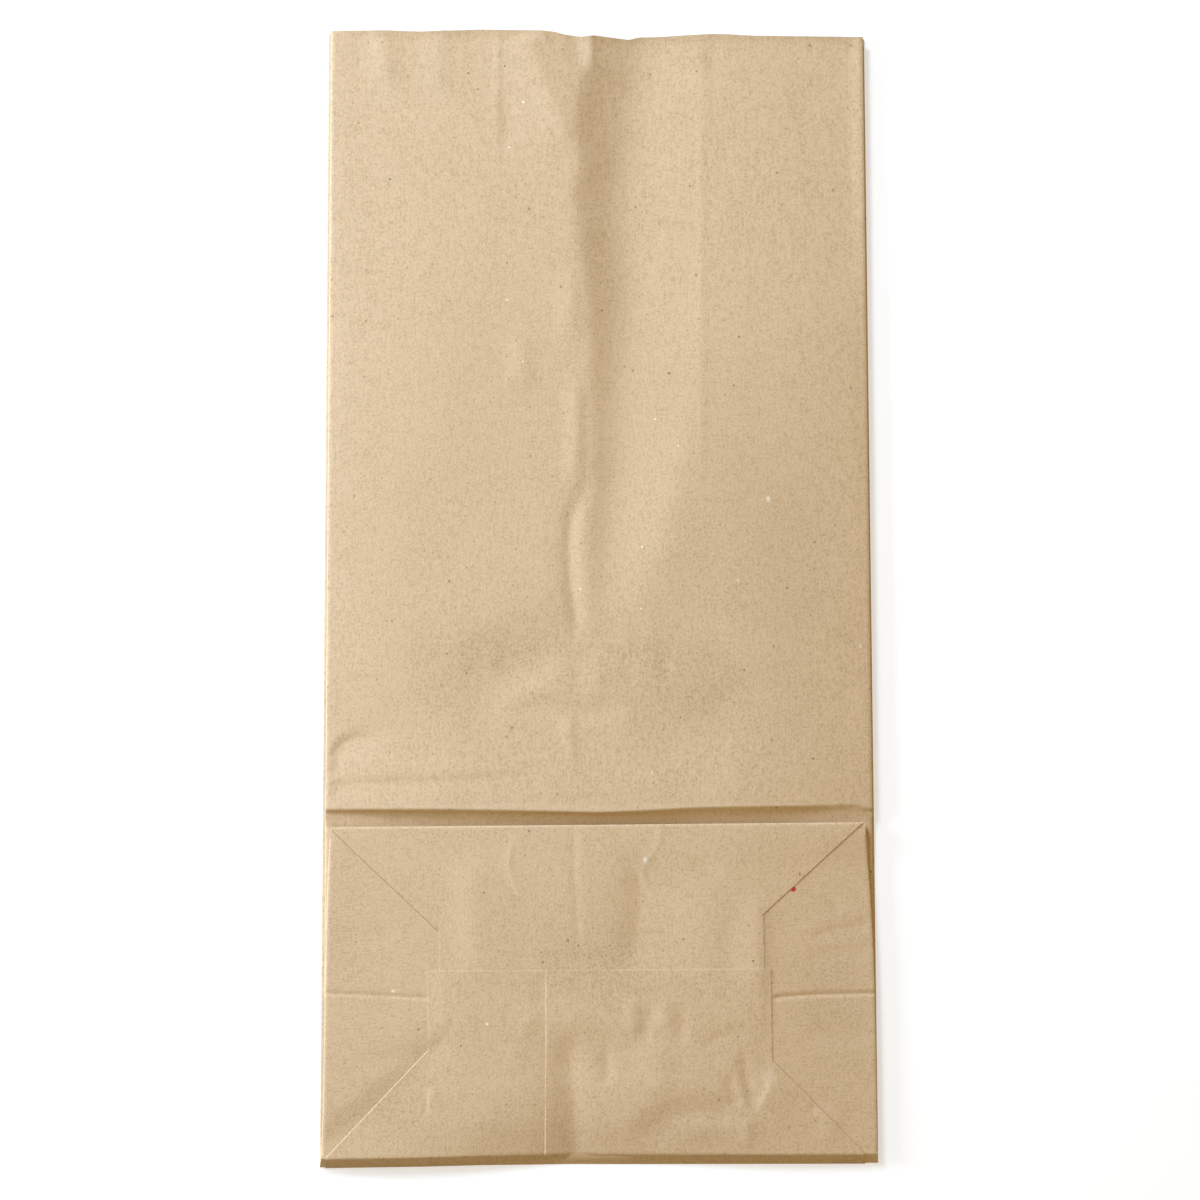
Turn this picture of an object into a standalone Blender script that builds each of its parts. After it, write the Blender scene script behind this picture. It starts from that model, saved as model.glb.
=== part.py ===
"""Brown paper lunch bag, folded flat, with its square bottom turned up over the front wall.

The bag is one sheet of kraft paper: a tube with a gusset down each side and a folded, glued bottom.
It is lofted as one open surface through cross-sections of its plies, and Solidify gives the paper
its thickness. X runs across the bag, Y runs from the bottom's lower crease to the mouth, Z is up.
"""

import math

import bmesh
import bpy

# Sheet and folded bag
PAPER = 0.0001            # thickness of the sheet
PLY_GAP = 0.00032         # air between two plies that lie on each other
WIDTH = 0.1302            # across the front wall
GUSSET = 0.0794           # side wall, which is also the depth of the square bottom
LENGTH = 0.2700           # lower crease to mouth

# Edges of the folded stack
FRONT_INSET = 0.0008      # front wall's side folds, in from the back wall's
FLAP_TUCK = 0.0022        # corners of the bottom's upper crease, in from the back wall's side folds
STRIP_RUN = 0.0024        # sloped strip at the lower crease, along the bag
STRIP_EASE = 0.0120       # length over which the plies above the strip straighten out

# Glued flaps of the square bottom
UPPER_TONGUE = 0.0776     # width of the front wall's flap past its diagonals
LOWER_TONGUE = 0.0820     # width of the back wall's flap past its diagonals
LOWER_REACH = 0.0447      # back wall's flap, from the lower crease to its cut edge
FLAP_OVERLAP = 0.0100     # how far the front wall's flap runs under the back wall's
FLAP_MARGIN = 0.0006      # flaps' folds, in from the side folds that carry them
UPPER_PLIES = 2           # front wall's flap and its folded corner, above the side flaps
LOWER_PLIES = 3           # with the back wall's flap glued on

# Lengthwise glued seam of the tube
SEAM_EDGE = -0.0130       # visible edge of the outer ply, from the centre line
SEAM_LAP = 0.0100         # width of the double ply

# Relief of the front wall
RIDGE_SET = 0.0048        # ridge, beyond the bottom's upper crease
RIDGE_HEIGHT = 0.0039     # ridge's height above the rest surface
WALL_HEIGHT = 0.0033      # front wall between ridge and mouth
MOUTH_HEIGHT = 0.0026     # front wall at the mouth
RIDGE_FADE = 0.0200       # length over which the ridge settles into the wall
SIDE_HEIGHT = 0.0022      # front wall's side folds
SIDE_ROLL = 0.0140        # width over which the wall rolls down to its side folds

# Trough pressed into the front wall, from the mouth towards the bottom
TROUGH_DEPTH = 0.0013
TROUGH_MOUTH_X = 0.0100   # trough's floor at the mouth, from the centre line
TROUGH_FOOT_X = -0.0060   # trough's floor at its foot
TROUGH_MOUTH_HALF = 0.0150
TROUGH_FOOT_HALF = 0.0070
TROUGH_BEND = 0.2020      # where the floor crosses over, from the lower crease
TROUGH_BEND_HALF = 0.0200
TROUGH_FOOT = 0.1100      # where the trough has run out
TROUGH_RUNOUT = 0.0350

# Mouth's edge, pulled down to the right of the trough
MOUTH_DROP = 0.0012
MOUTH_DROP_X = -0.0090
MOUTH_DROP_HALF = 0.0060
MOUTH_DROP_RUN = 0.0250

# Loft
FRONT_COLUMNS = 23
FLAT_COLUMNS = 3
GUSSET_COLUMNS = 2
LOWER_SLICES = 6
UPPER_SLICES = 5
WALL_SLICES = 12
FOLD_TURN = (45, 90, 135)          # degrees along a half turn of paper
CROTCH_TURN = (0, 45, 90, 135, 180)
CREASE_TURN = (25, 50, 72)         # degrees round the bottom's upper crease
GUSSET_START = 0.0050              # gusset depth at which its folds are fully formed
START_SLICES = 5
PLAIN_CORNER = 0.0006              # plain side next to the strip, before the gusset starts

PITCH = PAPER + PLY_GAP
KRAFT_COLOUR = (0.66, 0.52, 0.36, 1.0)
KRAFT_ROUGHNESS = 0.85


def level(ply):
    """Height of a ply's middle, counted up from the back wall as 0."""
    return PAPER / 2 + ply * PITCH


BACK, GUSSET_BACK, GUSSET_FRONT, FRONT, FRONT_RETURN, TUCK_FRONT, TUCK_BACK, BOTTOM = range(8)
CROTCH = GUSSET / 2
CROTCH_CENTRE = (level(FRONT) + level(FRONT_RETURN)) / 2
CROTCH_REACH = level(TUCK_BACK) - CROTCH_CENTRE
CREASE_RADIUS = (level(BOTTOM) - level(FRONT_RETURN)) / 2
PANEL_TOP = level(BOTTOM) + PAPER / 2
BACK_EDGE = WIDTH / 2 - PAPER / 2
FRONT_EDGE = BACK_EDGE - FRONT_INSET


def mix(a, b, share):
    return a + (b - a) * share


def ramp(value, start, end):
    """0 before start, 1 after end, straight between."""
    return min(1.0, max(0.0, (value - start) / (end - start)))


def ease(value, start, end):
    """0 before start, 1 after end, smooth between."""
    share = ramp(value, start, end)
    return share * share * (3 - 2 * share)


def spread(start, end, count):
    return [mix(start, end, i / (count - 1)) for i in range(count)]


def flap_edge(t):
    """Side fold between the bottom panel and the gusset tucked under it."""
    return BACK_EDGE - FLAP_TUCK * ramp(t, CROTCH, GUSSET)


def return_edge(t):
    """Side fold of the front wall's returning ply, under the bottom panel."""
    return mix(FRONT_EDGE, flap_edge(GUSSET), ramp(t, CROTCH, GUSSET))


def trough(x, t):
    """Depth of the trough below the front wall, at x across and t up from the lower crease."""
    across = ease(t, TROUGH_BEND - TROUGH_BEND_HALF, TROUGH_BEND + TROUGH_BEND_HALF)
    floor = mix(TROUGH_FOOT_X, TROUGH_MOUTH_X, across)
    half = mix(TROUGH_FOOT_HALF, TROUGH_MOUTH_HALF, across)
    bank = ramp(abs(x - floor), 0, half)
    fade = ease(t, TROUGH_FOOT, TROUGH_FOOT + TROUGH_RUNOUT)
    return TROUGH_DEPTH * fade * (1 - bank) * (1 - bank * bank / 2)


def side_height(t):
    """Height of the front wall's side folds."""
    return mix(level(FRONT), SIDE_HEIGHT, ramp(t, GUSSET, GUSSET + RIDGE_SET))


def front_height(x, t):
    """Height of the front wall: pressed flat under the bottom panel, free of it past the ridge."""
    ridge = GUSSET + RIDGE_SET
    crest = mix(RIDGE_HEIGHT, WALL_HEIGHT, ease(t, ridge, ridge + RIDGE_FADE))
    crest = mix(crest, MOUTH_HEIGHT, ease(t, ridge + RIDGE_FADE, LENGTH))
    roll = ramp(FRONT_EDGE - abs(x), 0, SIDE_ROLL)
    free = mix(SIDE_HEIGHT, crest, math.sqrt(1 - (1 - roll) ** 2)) - trough(x, t)
    return mix(level(FRONT), free, ramp(t, GUSSET, ridge))


def half_turn(tip, start, end, side):
    """Fold of the paper from height start to height end; side is 1 outwards and -1 inwards."""
    radius = (start - end) / 2
    points = []
    for degrees in FOLD_TURN:
        angle = math.radians(degrees)
        points.append((tip - side * radius * (1 - math.sin(angle)), end + radius * (1 + math.cos(angle))))
    return points


def open_fold(tip):
    """Inner fold of the gusset below the crotch, with a point for each step of the crotch's turn."""
    upper = half_turn(tip, level(TUCK_BACK), level(TUCK_FRONT), -1)
    lower = half_turn(tip, level(GUSSET_FRONT), level(GUSSET_BACK), -1)
    radius = upper[1][1] - CROTCH_CENTRE
    wall = [(tip, CROTCH_CENTRE + radius * math.cos(math.radians(a))) for a in CROTCH_TURN]
    return [upper[0]] + wall + [lower[2]]


def side_chain(ply_edges, heights, depth, is_open):
    """Right-hand gusset from the top ply to the bottom ply, as (x, height) points.

    heights are the top ply, the upper gusset's outer and inner edges, the lower gusset and the
    bottom ply. A gusset that is only starting is mixed from a plain side and a full gusset.
    """
    top_edge, bottom_edge = ply_edges
    top, upper_out, upper_in, lower, bottom = heights
    formed = ramp(depth, 0, GUSSET_START)
    tip = BACK_EDGE - max(depth, GUSSET_START)
    top_radius = (top - upper_out) / 2
    bottom_radius = (lower - bottom) / 2
    inner = open_fold(tip) if is_open else half_turn(tip, upper_in, lower, -1)
    inner_radius = (level(TUCK_BACK) - level(TUCK_FRONT)) / 2 if is_open else (upper_in - lower) / 2
    upper = zip(spread(top_edge - top_radius, tip + inner_radius, GUSSET_COLUMNS),
                spread(upper_out, upper_in, GUSSET_COLUMNS))
    under = zip(spread(tip + inner_radius, bottom_edge - bottom_radius, GUSSET_COLUMNS),
                [lower] * GUSSET_COLUMNS)
    full = half_turn(top_edge, top, upper_out, 1) + list(upper) + inner + list(under)
    full += half_turn(bottom_edge, lower, bottom, 1)
    chain = []
    for index, (x, z) in enumerate(full, start=1):
        share = index / (len(full) + 1)
        chain.append((mix(mix(top_edge, bottom_edge, share), x, formed),
                      mix(mix(top, bottom, share), z, formed)))
    return chain, top_radius * formed, bottom_radius * formed


def section(ply_edges, heights, depth, top_ply, bottom_ply, is_open=False):
    """One cross-section: (x, height) points over the top, down the right, under and up the left.

    top_ply and bottom_ply are a count of columns and a height for each x. The result is four
    runs that meet at the inner folds, so that rings of plies can be joined half by half.
    """
    chain, top_radius, bottom_radius = side_chain(ply_edges, heights, depth, is_open)
    arm = len(FOLD_TURN) + GUSSET_COLUMNS + 1
    down, middle, out = chain[:arm], chain[arm:-arm], chain[-arm:]
    top_half = ply_edges[0] - top_radius
    bottom_half = ply_edges[1] - bottom_radius
    over = [(x, top_ply[1](x)) for x in spread(-top_half, top_half, top_ply[0])]
    under = [(x, bottom_ply[1](x)) for x in spread(bottom_half, -bottom_half, bottom_ply[0])]
    right_down = down + middle[:1]
    right_out = middle[-1:] + out
    top = mirrored(right_down) + over + right_down
    bottom = right_out + under + mirrored(right_out)
    return top, middle[1:-1], bottom, mirrored(middle[1:-1])


def mirrored(points):
    """The same points on the left, in the opposite order."""
    return [(-x, z) for x, z in reversed(points)]


def lower_section(t):
    """Bottom panel, tucked gusset, back gusset and back wall, between lower crease and crotch."""
    heights = (level(BOTTOM), level(TUCK_BACK), level(TUCK_BACK), level(GUSSET_BACK), level(BACK))
    return section((flap_edge(t), BACK_EDGE), heights, max(0, t - PLAIN_CORNER),
                   (FLAT_COLUMNS, lambda x: level(BOTTOM)),
                   (FLAT_COLUMNS, lambda x: level(BACK)), is_open=True)


def upper_section(t, turn=0.0):
    """Bottom panel, tucked gusset and the front wall's return, between crotch and upper crease.

    turn is the angle travelled round the upper crease, where the two outer plies close in.
    """
    middle = (level(BOTTOM) + level(FRONT_RETURN)) / 2
    half = CREASE_RADIUS * math.cos(math.radians(turn))
    top, bottom = middle + half, middle - half
    heights = (top, level(TUCK_BACK), level(TUCK_BACK), level(TUCK_FRONT), bottom)
    depth = min(GUSSET - CREASE_RADIUS - t, CROTCH)
    return section((flap_edge(t), return_edge(t)), heights, depth,
                   (FLAT_COLUMNS, lambda x: top), (FRONT_COLUMNS, lambda x: bottom))


def body_section(t):
    """Front wall, front and back gusset and back wall, from the crotch to the mouth."""
    edge = side_height(t)
    heights = (edge, edge - PITCH, level(GUSSET_FRONT), level(GUSSET_BACK), level(BACK))
    return section((FRONT_EDGE, BACK_EDGE), heights, CROTCH,
                   (FRONT_COLUMNS, lambda x: front_height(x, t)),
                   (FLAT_COLUMNS, lambda x: level(BACK)))


def mouth_drop(x, t):
    """How far the cut edge of the mouth is pulled down towards the bottom."""
    across = ease(x, MOUTH_DROP_X - MOUTH_DROP_HALF, MOUTH_DROP_X + MOUTH_DROP_HALF)
    return MOUTH_DROP * across * ease(t, LENGTH - MOUTH_DROP_RUN, LENGTH)


def lean(t, z):
    """Set-back of the upper plies near the lower crease, which makes the sloped strip."""
    strip = STRIP_RUN * (1 - ramp(t, 0, STRIP_EASE)) ** 2
    return strip * ramp(z, level(BACK), level(BOTTOM))


def place(bm, points, t):
    """Vertices for one run of a section at t from the lower crease."""
    return [bm.verts.new((x, t + lean(t, z) - mouth_drop(x, t) - LENGTH / 2, z)) for x, z in points]


def bridge(bm, row, other):
    """Quads between two open rows of as many vertices."""
    for i in range(len(row) - 1):
        bm.faces.new((row[i], row[i + 1], other[i + 1], other[i]))


def lower_rows(bm):
    """Rings of vertices from the lower crease to just below the crotch, joined into a tube."""
    end = CROTCH - CROTCH_REACH - PITCH
    starts = [PAPER / 2] + spread(PLAIN_CORNER, GUSSET_START, START_SLICES)
    rings = []
    for t in starts[:-1] + spread(GUSSET_START, end, LOWER_SLICES):
        top, right, bottom, left = [place(bm, run, t) for run in lower_section(t)]
        rings.append((top, [top[-1]] + right + [bottom[0]], bottom, [bottom[-1]] + left + [top[0]]))
    for ring, following in zip(rings, rings[1:]):
        for run, next_run in zip(ring, following):
            bridge(bm, run, next_run)
    return rings


def close_lower_crease(bm, ring):
    """Sloped strip that joins the back wall to the bottom panel, as a left and a right half."""
    top, right, bottom, left = ring
    centre = len(top) // 2
    bm.faces.new(top[centre:] + right[1:-1] + bottom[:centre + 1])
    bm.faces.new(bottom[centre:] + left[1:-1] + top[:centre + 1])


def ring_row(bm, sections, t):
    """A ring whose upper and lower runs share the vertices at the two inner folds."""
    top = place(bm, sections[0], t)
    bottom = [top[-1]] + place(bm, sections[2][1:-1], t) + [top[0]]
    return top, bottom


def upper_rows(bm):
    """Rings from the crotch to the bottom's upper crease, closed round the crease."""
    flat_end = GUSSET - CREASE_RADIUS
    rows = [ring_row(bm, upper_section(t), t) for t in spread(CROTCH, flat_end, UPPER_SLICES)]
    for turn in CREASE_TURN:
        t = flat_end + CREASE_RADIUS * math.sin(math.radians(turn))
        rows.append(ring_row(bm, upper_section(flat_end, turn), t))
    for row, following in zip(rows, rows[1:]):
        bridge(bm, row[0], following[0])
        bridge(bm, row[1], following[1])
    top, bottom = rows[-1]
    bm.faces.new(top + bottom[1:-1])
    return rows


def wall_stations():
    """Places of the body's cross-sections along the bag, closer together at the ridge."""
    ridge = GUSSET + RIDGE_SET
    settled = ridge + RIDGE_FADE
    stretches = [(CROTCH, GUSSET, 3), (GUSSET, ridge, 3), (ridge, settled, 4), (settled, LENGTH, WALL_SLICES)]
    stations = [CROTCH]
    for start, end, count in stretches:
        stations += spread(start, end, count)[1:]
    return stations


def body_rows(bm):
    rows = [ring_row(bm, body_section(t), t) for t in wall_stations()]
    for row, following in zip(rows, rows[1:]):
        bridge(bm, row[0], following[0])
        bridge(bm, row[1], following[1])
    return rows


def crotch(bm, lower_ring, upper_row, body_row):
    """Fold where the front wall and its gussets turn back up under the bottom panel."""
    start = upper_row[1]
    end = list(reversed(body_row[0]))
    rows = [start]
    for degrees in CROTCH_TURN[1:-1]:
        angle = math.radians(degrees)
        row = []
        for high, low in zip(start, end):
            radius = (high.co.z - low.co.z) / 2
            x = mix(high.co.x, low.co.x, (1 - math.cos(angle)) / 2)
            z = low.co.z + radius * (1 + math.cos(angle))
            row.append(bm.verts.new((x, high.co.y - radius * math.sin(angle), z)))
        rows.append(row)
    rows.append(end)
    for row, following in zip(rows, rows[1:]):
        bridge(bm, row, following)
    top, right, bottom, left = lower_ring
    bridge(bm, right, [row[0] for row in rows])
    bridge(bm, list(reversed(left)), [row[-1] for row in rows])
    bridge(bm, top, upper_row[0])
    bridge(bm, bottom, body_row[1])


def folded_sheet(name):
    """The bag's paper as one open surface, a tube that is closed at the bottom."""
    bm = bmesh.new()
    lower = lower_rows(bm)
    close_lower_crease(bm, lower[0])
    upper = upper_rows(bm)
    body = body_rows(bm)
    crotch(bm, lower[-1], upper[0], body[0])
    bmesh.ops.remove_doubles(bm, verts=bm.verts, dist=PAPER)
    bmesh.ops.triangulate(bm, faces=bm.faces)
    bmesh.ops.recalc_face_normals(bm, faces=bm.faces)
    mesh = bpy.data.meshes.new(name)
    bm.to_mesh(mesh)
    bm.free()
    return bpy.data.objects.new(name, mesh)


def add_solidify(obj, thickness, offset):
    solidify = obj.modifiers.new("paper", "SOLIDIFY")
    solidify.thickness = thickness
    solidify.offset = offset


def add_union(obj, other):
    union = obj.modifiers.new(other.name, "BOOLEAN")
    union.operation = "UNION"
    union.object = other


def plate(name, outline, low, high, guides):
    """Flat layer of paper with the given outline of (x, t) points, between two heights."""
    bm = bmesh.new()
    bm.faces.new([bm.verts.new((x, t - LENGTH / 2, low)) for x, t in outline])
    bmesh.ops.recalc_face_normals(bm, faces=bm.faces)
    for face in bm.faces:
        if face.normal.z < 0:
            face.normal_flip()
    mesh = bpy.data.meshes.new(name)
    bm.to_mesh(mesh)
    bm.free()
    obj = bpy.data.objects.new(name, mesh)
    add_solidify(obj, high - low, 1)
    obj.hide_render = True
    obj.display_type = "WIRE"
    guides.objects.link(obj)
    return obj


def symmetric(right_half):
    """Outline from its right half, listed from one end of the centre line to the other."""
    return right_half + [(-x, t) for x, t in reversed(right_half)]


def upper_flap(guides):
    """Front wall's flap with the folded corner under it."""
    crease = GUSSET - CREASE_RADIUS
    corner = flap_edge(crease) - FLAP_MARGIN
    tongue = UPPER_TONGUE / 2
    end = LOWER_REACH - FLAP_OVERLAP
    half = [(corner, crease), (tongue, crease - (corner - tongue)), (tongue, end)]
    return plate("upper_flap", symmetric(half), level(BOTTOM), PANEL_TOP + UPPER_PLIES * PAPER, guides)


def lower_flap(guides):
    """Back wall's flap, glued over the front wall's."""
    crease = STRIP_RUN + PAPER
    corner = BACK_EDGE - FLAP_MARGIN
    tongue = LOWER_TONGUE / 2
    half = [(corner, crease), (tongue, crease + corner - tongue), (tongue, LOWER_REACH)]
    low = (level(BOTTOM) + PANEL_TOP) / 2
    return plate("lower_flap", symmetric(half), low, PANEL_TOP + LOWER_PLIES * PAPER, guides)


def seam_outline(first, last):
    end = SEAM_EDGE + SEAM_LAP
    return [(SEAM_EDGE, first), (end, first), (end, last), (SEAM_EDGE, last)]


def seam_on_flap(guides):
    """Outer ply of the lengthwise seam, where it shows on the back wall's flap."""
    flap_top = PANEL_TOP + LOWER_PLIES * PAPER
    outline = seam_outline(STRIP_RUN + 2 * PAPER, LOWER_REACH - PAPER)
    return plate("seam_on_flap", outline, flap_top - PAPER / 2, flap_top + PAPER, guides)


def seam_on_back(guides):
    """Inner ply of the lengthwise seam, inside the back wall."""
    outline = seam_outline(STRIP_RUN, LENGTH - MOUTH_DROP - PAPER)
    return plate("seam_on_back", outline, level(BACK), level(BACK) + 3 * PAPER / 2, guides)


def kraft():
    material = bpy.data.materials.new("kraft_paper")
    material.use_nodes = True
    shader = material.node_tree.nodes["Principled BSDF"]
    shader.inputs["Base Color"].default_value = KRAFT_COLOUR
    shader.inputs["Roughness"].default_value = KRAFT_ROUGHNESS
    shader.inputs["Metallic"].default_value = 0.0
    return material


def new_collection(name):
    collection = bpy.data.collections.new(name)
    bpy.context.scene.collection.children.link(collection)
    return collection


def main():
    for obj in list(bpy.data.objects):
        bpy.data.objects.remove(obj, do_unlink=True)
    parts = new_collection("paper_lunch_bag")
    guides = new_collection("glued_layers")
    bag = folded_sheet("paper_bag")
    parts.objects.link(bag)
    bag.data.materials.append(kraft())
    add_solidify(bag, PAPER, 0)
    for layer in (upper_flap, lower_flap, seam_on_flap, seam_on_back):
        add_union(bag, layer(guides))


main()
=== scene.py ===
"""Looks of the brown paper lunch bag: folded kraft sheet, bottom flaps, studio floor, light and camera.

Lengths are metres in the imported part's frame: X across the bag, Y from the square bottom towards
the mouth, Z up. t is a place along the bag, measured from the lower crease. Wrinkles are placed by
where they lie in the 1200 x 1200 photograph, through the same camera that renders the scene.
"""

import math

import bmesh
import bpy
import numpy as np
from mathutils import Matrix, Vector

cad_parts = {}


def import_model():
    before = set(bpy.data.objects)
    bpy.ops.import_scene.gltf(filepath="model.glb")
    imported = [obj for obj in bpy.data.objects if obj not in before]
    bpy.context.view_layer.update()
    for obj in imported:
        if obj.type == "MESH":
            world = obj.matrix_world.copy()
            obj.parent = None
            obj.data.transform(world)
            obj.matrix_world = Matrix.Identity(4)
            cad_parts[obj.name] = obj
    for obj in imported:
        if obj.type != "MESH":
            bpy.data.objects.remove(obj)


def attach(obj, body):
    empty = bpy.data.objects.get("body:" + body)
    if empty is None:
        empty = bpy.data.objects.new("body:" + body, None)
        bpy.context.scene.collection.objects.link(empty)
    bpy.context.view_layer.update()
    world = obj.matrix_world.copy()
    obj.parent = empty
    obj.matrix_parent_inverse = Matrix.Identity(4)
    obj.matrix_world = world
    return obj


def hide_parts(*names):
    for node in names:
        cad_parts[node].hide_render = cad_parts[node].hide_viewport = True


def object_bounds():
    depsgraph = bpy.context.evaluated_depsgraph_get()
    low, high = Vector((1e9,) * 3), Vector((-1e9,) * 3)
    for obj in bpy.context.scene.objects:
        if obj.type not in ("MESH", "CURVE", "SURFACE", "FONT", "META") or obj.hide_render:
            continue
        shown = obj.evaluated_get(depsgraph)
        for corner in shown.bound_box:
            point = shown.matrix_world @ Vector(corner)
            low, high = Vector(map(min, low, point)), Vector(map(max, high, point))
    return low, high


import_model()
CAD_LOW, CAD_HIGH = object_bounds()

MM = 0.001

# Folded sheet, as in the part's construction
WIDTH = CAD_HIGH[0] - CAD_LOW[0]
LENGTH = CAD_HIGH[1] - CAD_LOW[1]
PAPER = 0.10 * MM
PITCH = 0.42 * MM             # from ply to ply where they are pressed together
GUSSET = 79.4 * MM
CROTCH = GUSSET / 2
RIDGE_SET = 4.8 * MM
STRIP_RUN = 2.4 * MM
STRIP_EASE = 12.0 * MM

BACK, GUSSET_BACK, GUSSET_FRONT, FRONT, FRONT_RETURN, TUCK_FRONT, TUCK_BACK, BOTTOM = range(8)
LEFT, RIGHT = -1, 1

# Camera that took the photograph
PHOTO = 1200
CENTRE = PHOTO / 2
FOCAL = 2217.0
CAMERA_AT = Vector((-19.8 * MM, -46.7 * MM, 525.4 * MM))
CAMERA_TILT = math.radians(-4.78)
CAMERA_SWING = math.radians(2.18)
CAMERA_ROLL = math.radians(-0.04)
SENSOR = 36.0


def camera_turn():
    """Rotation from the part's frame to the camera's."""
    tilt = Matrix.Rotation(CAMERA_TILT, 3, "X")
    swing = Matrix.Rotation(CAMERA_SWING, 3, "Y")
    roll = Matrix.Rotation(CAMERA_ROLL, 3, "Z")
    return roll @ swing @ tilt


TURN = np.array(camera_turn())
EYE = np.array(CAMERA_AT)


def to_photo(x, t, z):
    """Photograph pixels (u, v) of places on the bag."""
    points = np.stack([x, t - LENGTH / 2, np.broadcast_to(z, np.shape(x))], axis=-1) - EYE
    seen = points @ TURN.T
    depth = -seen[..., 2]
    return CENTRE + FOCAL * seen[..., 0] / depth, CENTRE - FOCAL * seen[..., 1] / depth


def from_photo(u, v, z):
    """Places (x, t) on the bag at height z that show at photograph pixels (u, v)."""
    u = np.asarray(u, float)
    v = np.asarray(v, float)
    rays = np.stack([(u - CENTRE) / FOCAL, (CENTRE - v) / FOCAL, -np.ones_like(u)], axis=-1) @ TURN
    reach = (z - EYE[2]) / rays[..., 2]
    return EYE[0] + rays[..., 0] * reach, EYE[1] + rays[..., 1] * reach + LENGTH / 2


def level(ply):
    """Height of a ply's middle, counted up from the back wall as 0."""
    return PAPER / 2 + ply * PITCH


def mix(a, b, share):
    return a + (b - a) * share


def ramp(value, start, end):
    return np.clip((value - start) / (end - start), 0, 1)


def ease(value, start, end):
    share = ramp(value, start, end)
    return share * share * (3 - 2 * share)


# Relief, as functions of photograph pixels that give heights in metres

def smooth_path(points, steps=8):
    """Catmull-Rom curve through the points."""
    points = np.array(points, float)
    if len(points) == 2:
        return points
    ends = np.vstack([2 * points[0] - points[1], points, 2 * points[-1] - points[-2]])
    curve = []
    for a, b, c, d in zip(ends, ends[1:], ends[2:], ends[3:]):
        for s in np.linspace(0, 1, steps, endpoint=False):
            curve.append(0.5 * (2 * b + (c - a) * s + (2 * a - 5 * b + 4 * c - d) * s ** 2
                                + (3 * b - a - 3 * c + d) * s ** 3))
    return np.vstack([curve, points[-1]])


def path_frame(u, v, points):
    """Distance to a path, side of it (positive on the right going down) and share of its length."""
    path = smooth_path(points)
    best = np.full(u.shape, np.inf)
    side = np.zeros(u.shape)
    along = np.zeros(u.shape)
    lengths = np.hypot(*np.diff(path, axis=0).T)
    total = lengths.sum()
    start = 0.0
    for a, b, length in zip(path, path[1:], lengths):
        du, dv = (b - a) / length
        share = np.clip((u - a[0]) * du + (v - a[1]) * dv, 0, length)
        off_u = u - a[0] - share * du
        off_v = v - a[1] - share * dv
        distance = np.hypot(off_u, off_v)
        nearer = distance < best
        best = np.where(nearer, distance, best)
        side = np.where(nearer, np.sign(dv * off_u - du * off_v), side)
        along = np.where(nearer, (start + share) / total, along)
        start += length
    return best, side, along


def hinged(place, knots, soft):
    """Height along straight runs between knots (place, height), with each corner rounded over soft."""
    slopes = [0 * place]
    for (start, low), (end, high) in zip(knots, knots[1:]):
        slopes.append((high - low) / (end - start))
    slopes.append(0 * place)
    height = knots[0][1] + 0 * place
    softness = np.broadcast_to(soft, len(knots))
    for (corner, _), before, after, width in zip(knots, slopes, slopes[1:], softness):
        beyond = place - corner
        height = height + (after - before) * (beyond + np.sqrt(beyond * beyond + width * width)) / 2
    return height


def profile(points, knots, soft=3.0, fade=(0.25, 0.25)):
    """Relief along a path, with its points as u, v, u, v and so on.

    knots are pixels to the right of the path and height in mm, in turn. Right means to the right of
    a path that goes down the photograph and above one that goes right. fade is the share of the
    path's length over which the relief grows and dies away.
    """
    path = np.reshape(points, (-1, 2))
    across = np.reshape(knots, (-1, 2))

    def shape(u, v):
        distance, side, along = path_frame(u, v, path)
        height = hinged(distance * side, across, soft)
        if fade[0]:
            height = height * ease(along, 0, fade[0])
        if fade[1]:
            height = height * ease(1 - along, 0, fade[1])
        return MM * height
    return shape


def crease(points, start, top, height, end, soft=3.0, fade=(0.25, 0.25)):
    """Relief with one crest, or one valley where height is negative, from start to end across its path."""
    return profile(points, (start, 0, top, height, end, 0), soft, fade)


def dome(u0, v0, across, down, height, turn=0.0):
    """A soft bump, or a dent with a negative height in mm; turn is clockwise in degrees."""
    c, s = math.cos(math.radians(turn)), math.sin(math.radians(turn))

    def shape(u, v):
        du, dv = u - u0, v - v0
        a = (du * c + dv * s) / across
        b = (dv * c - du * s) / down
        return height * MM * np.exp(-a * a - b * b)
    return shape


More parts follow.
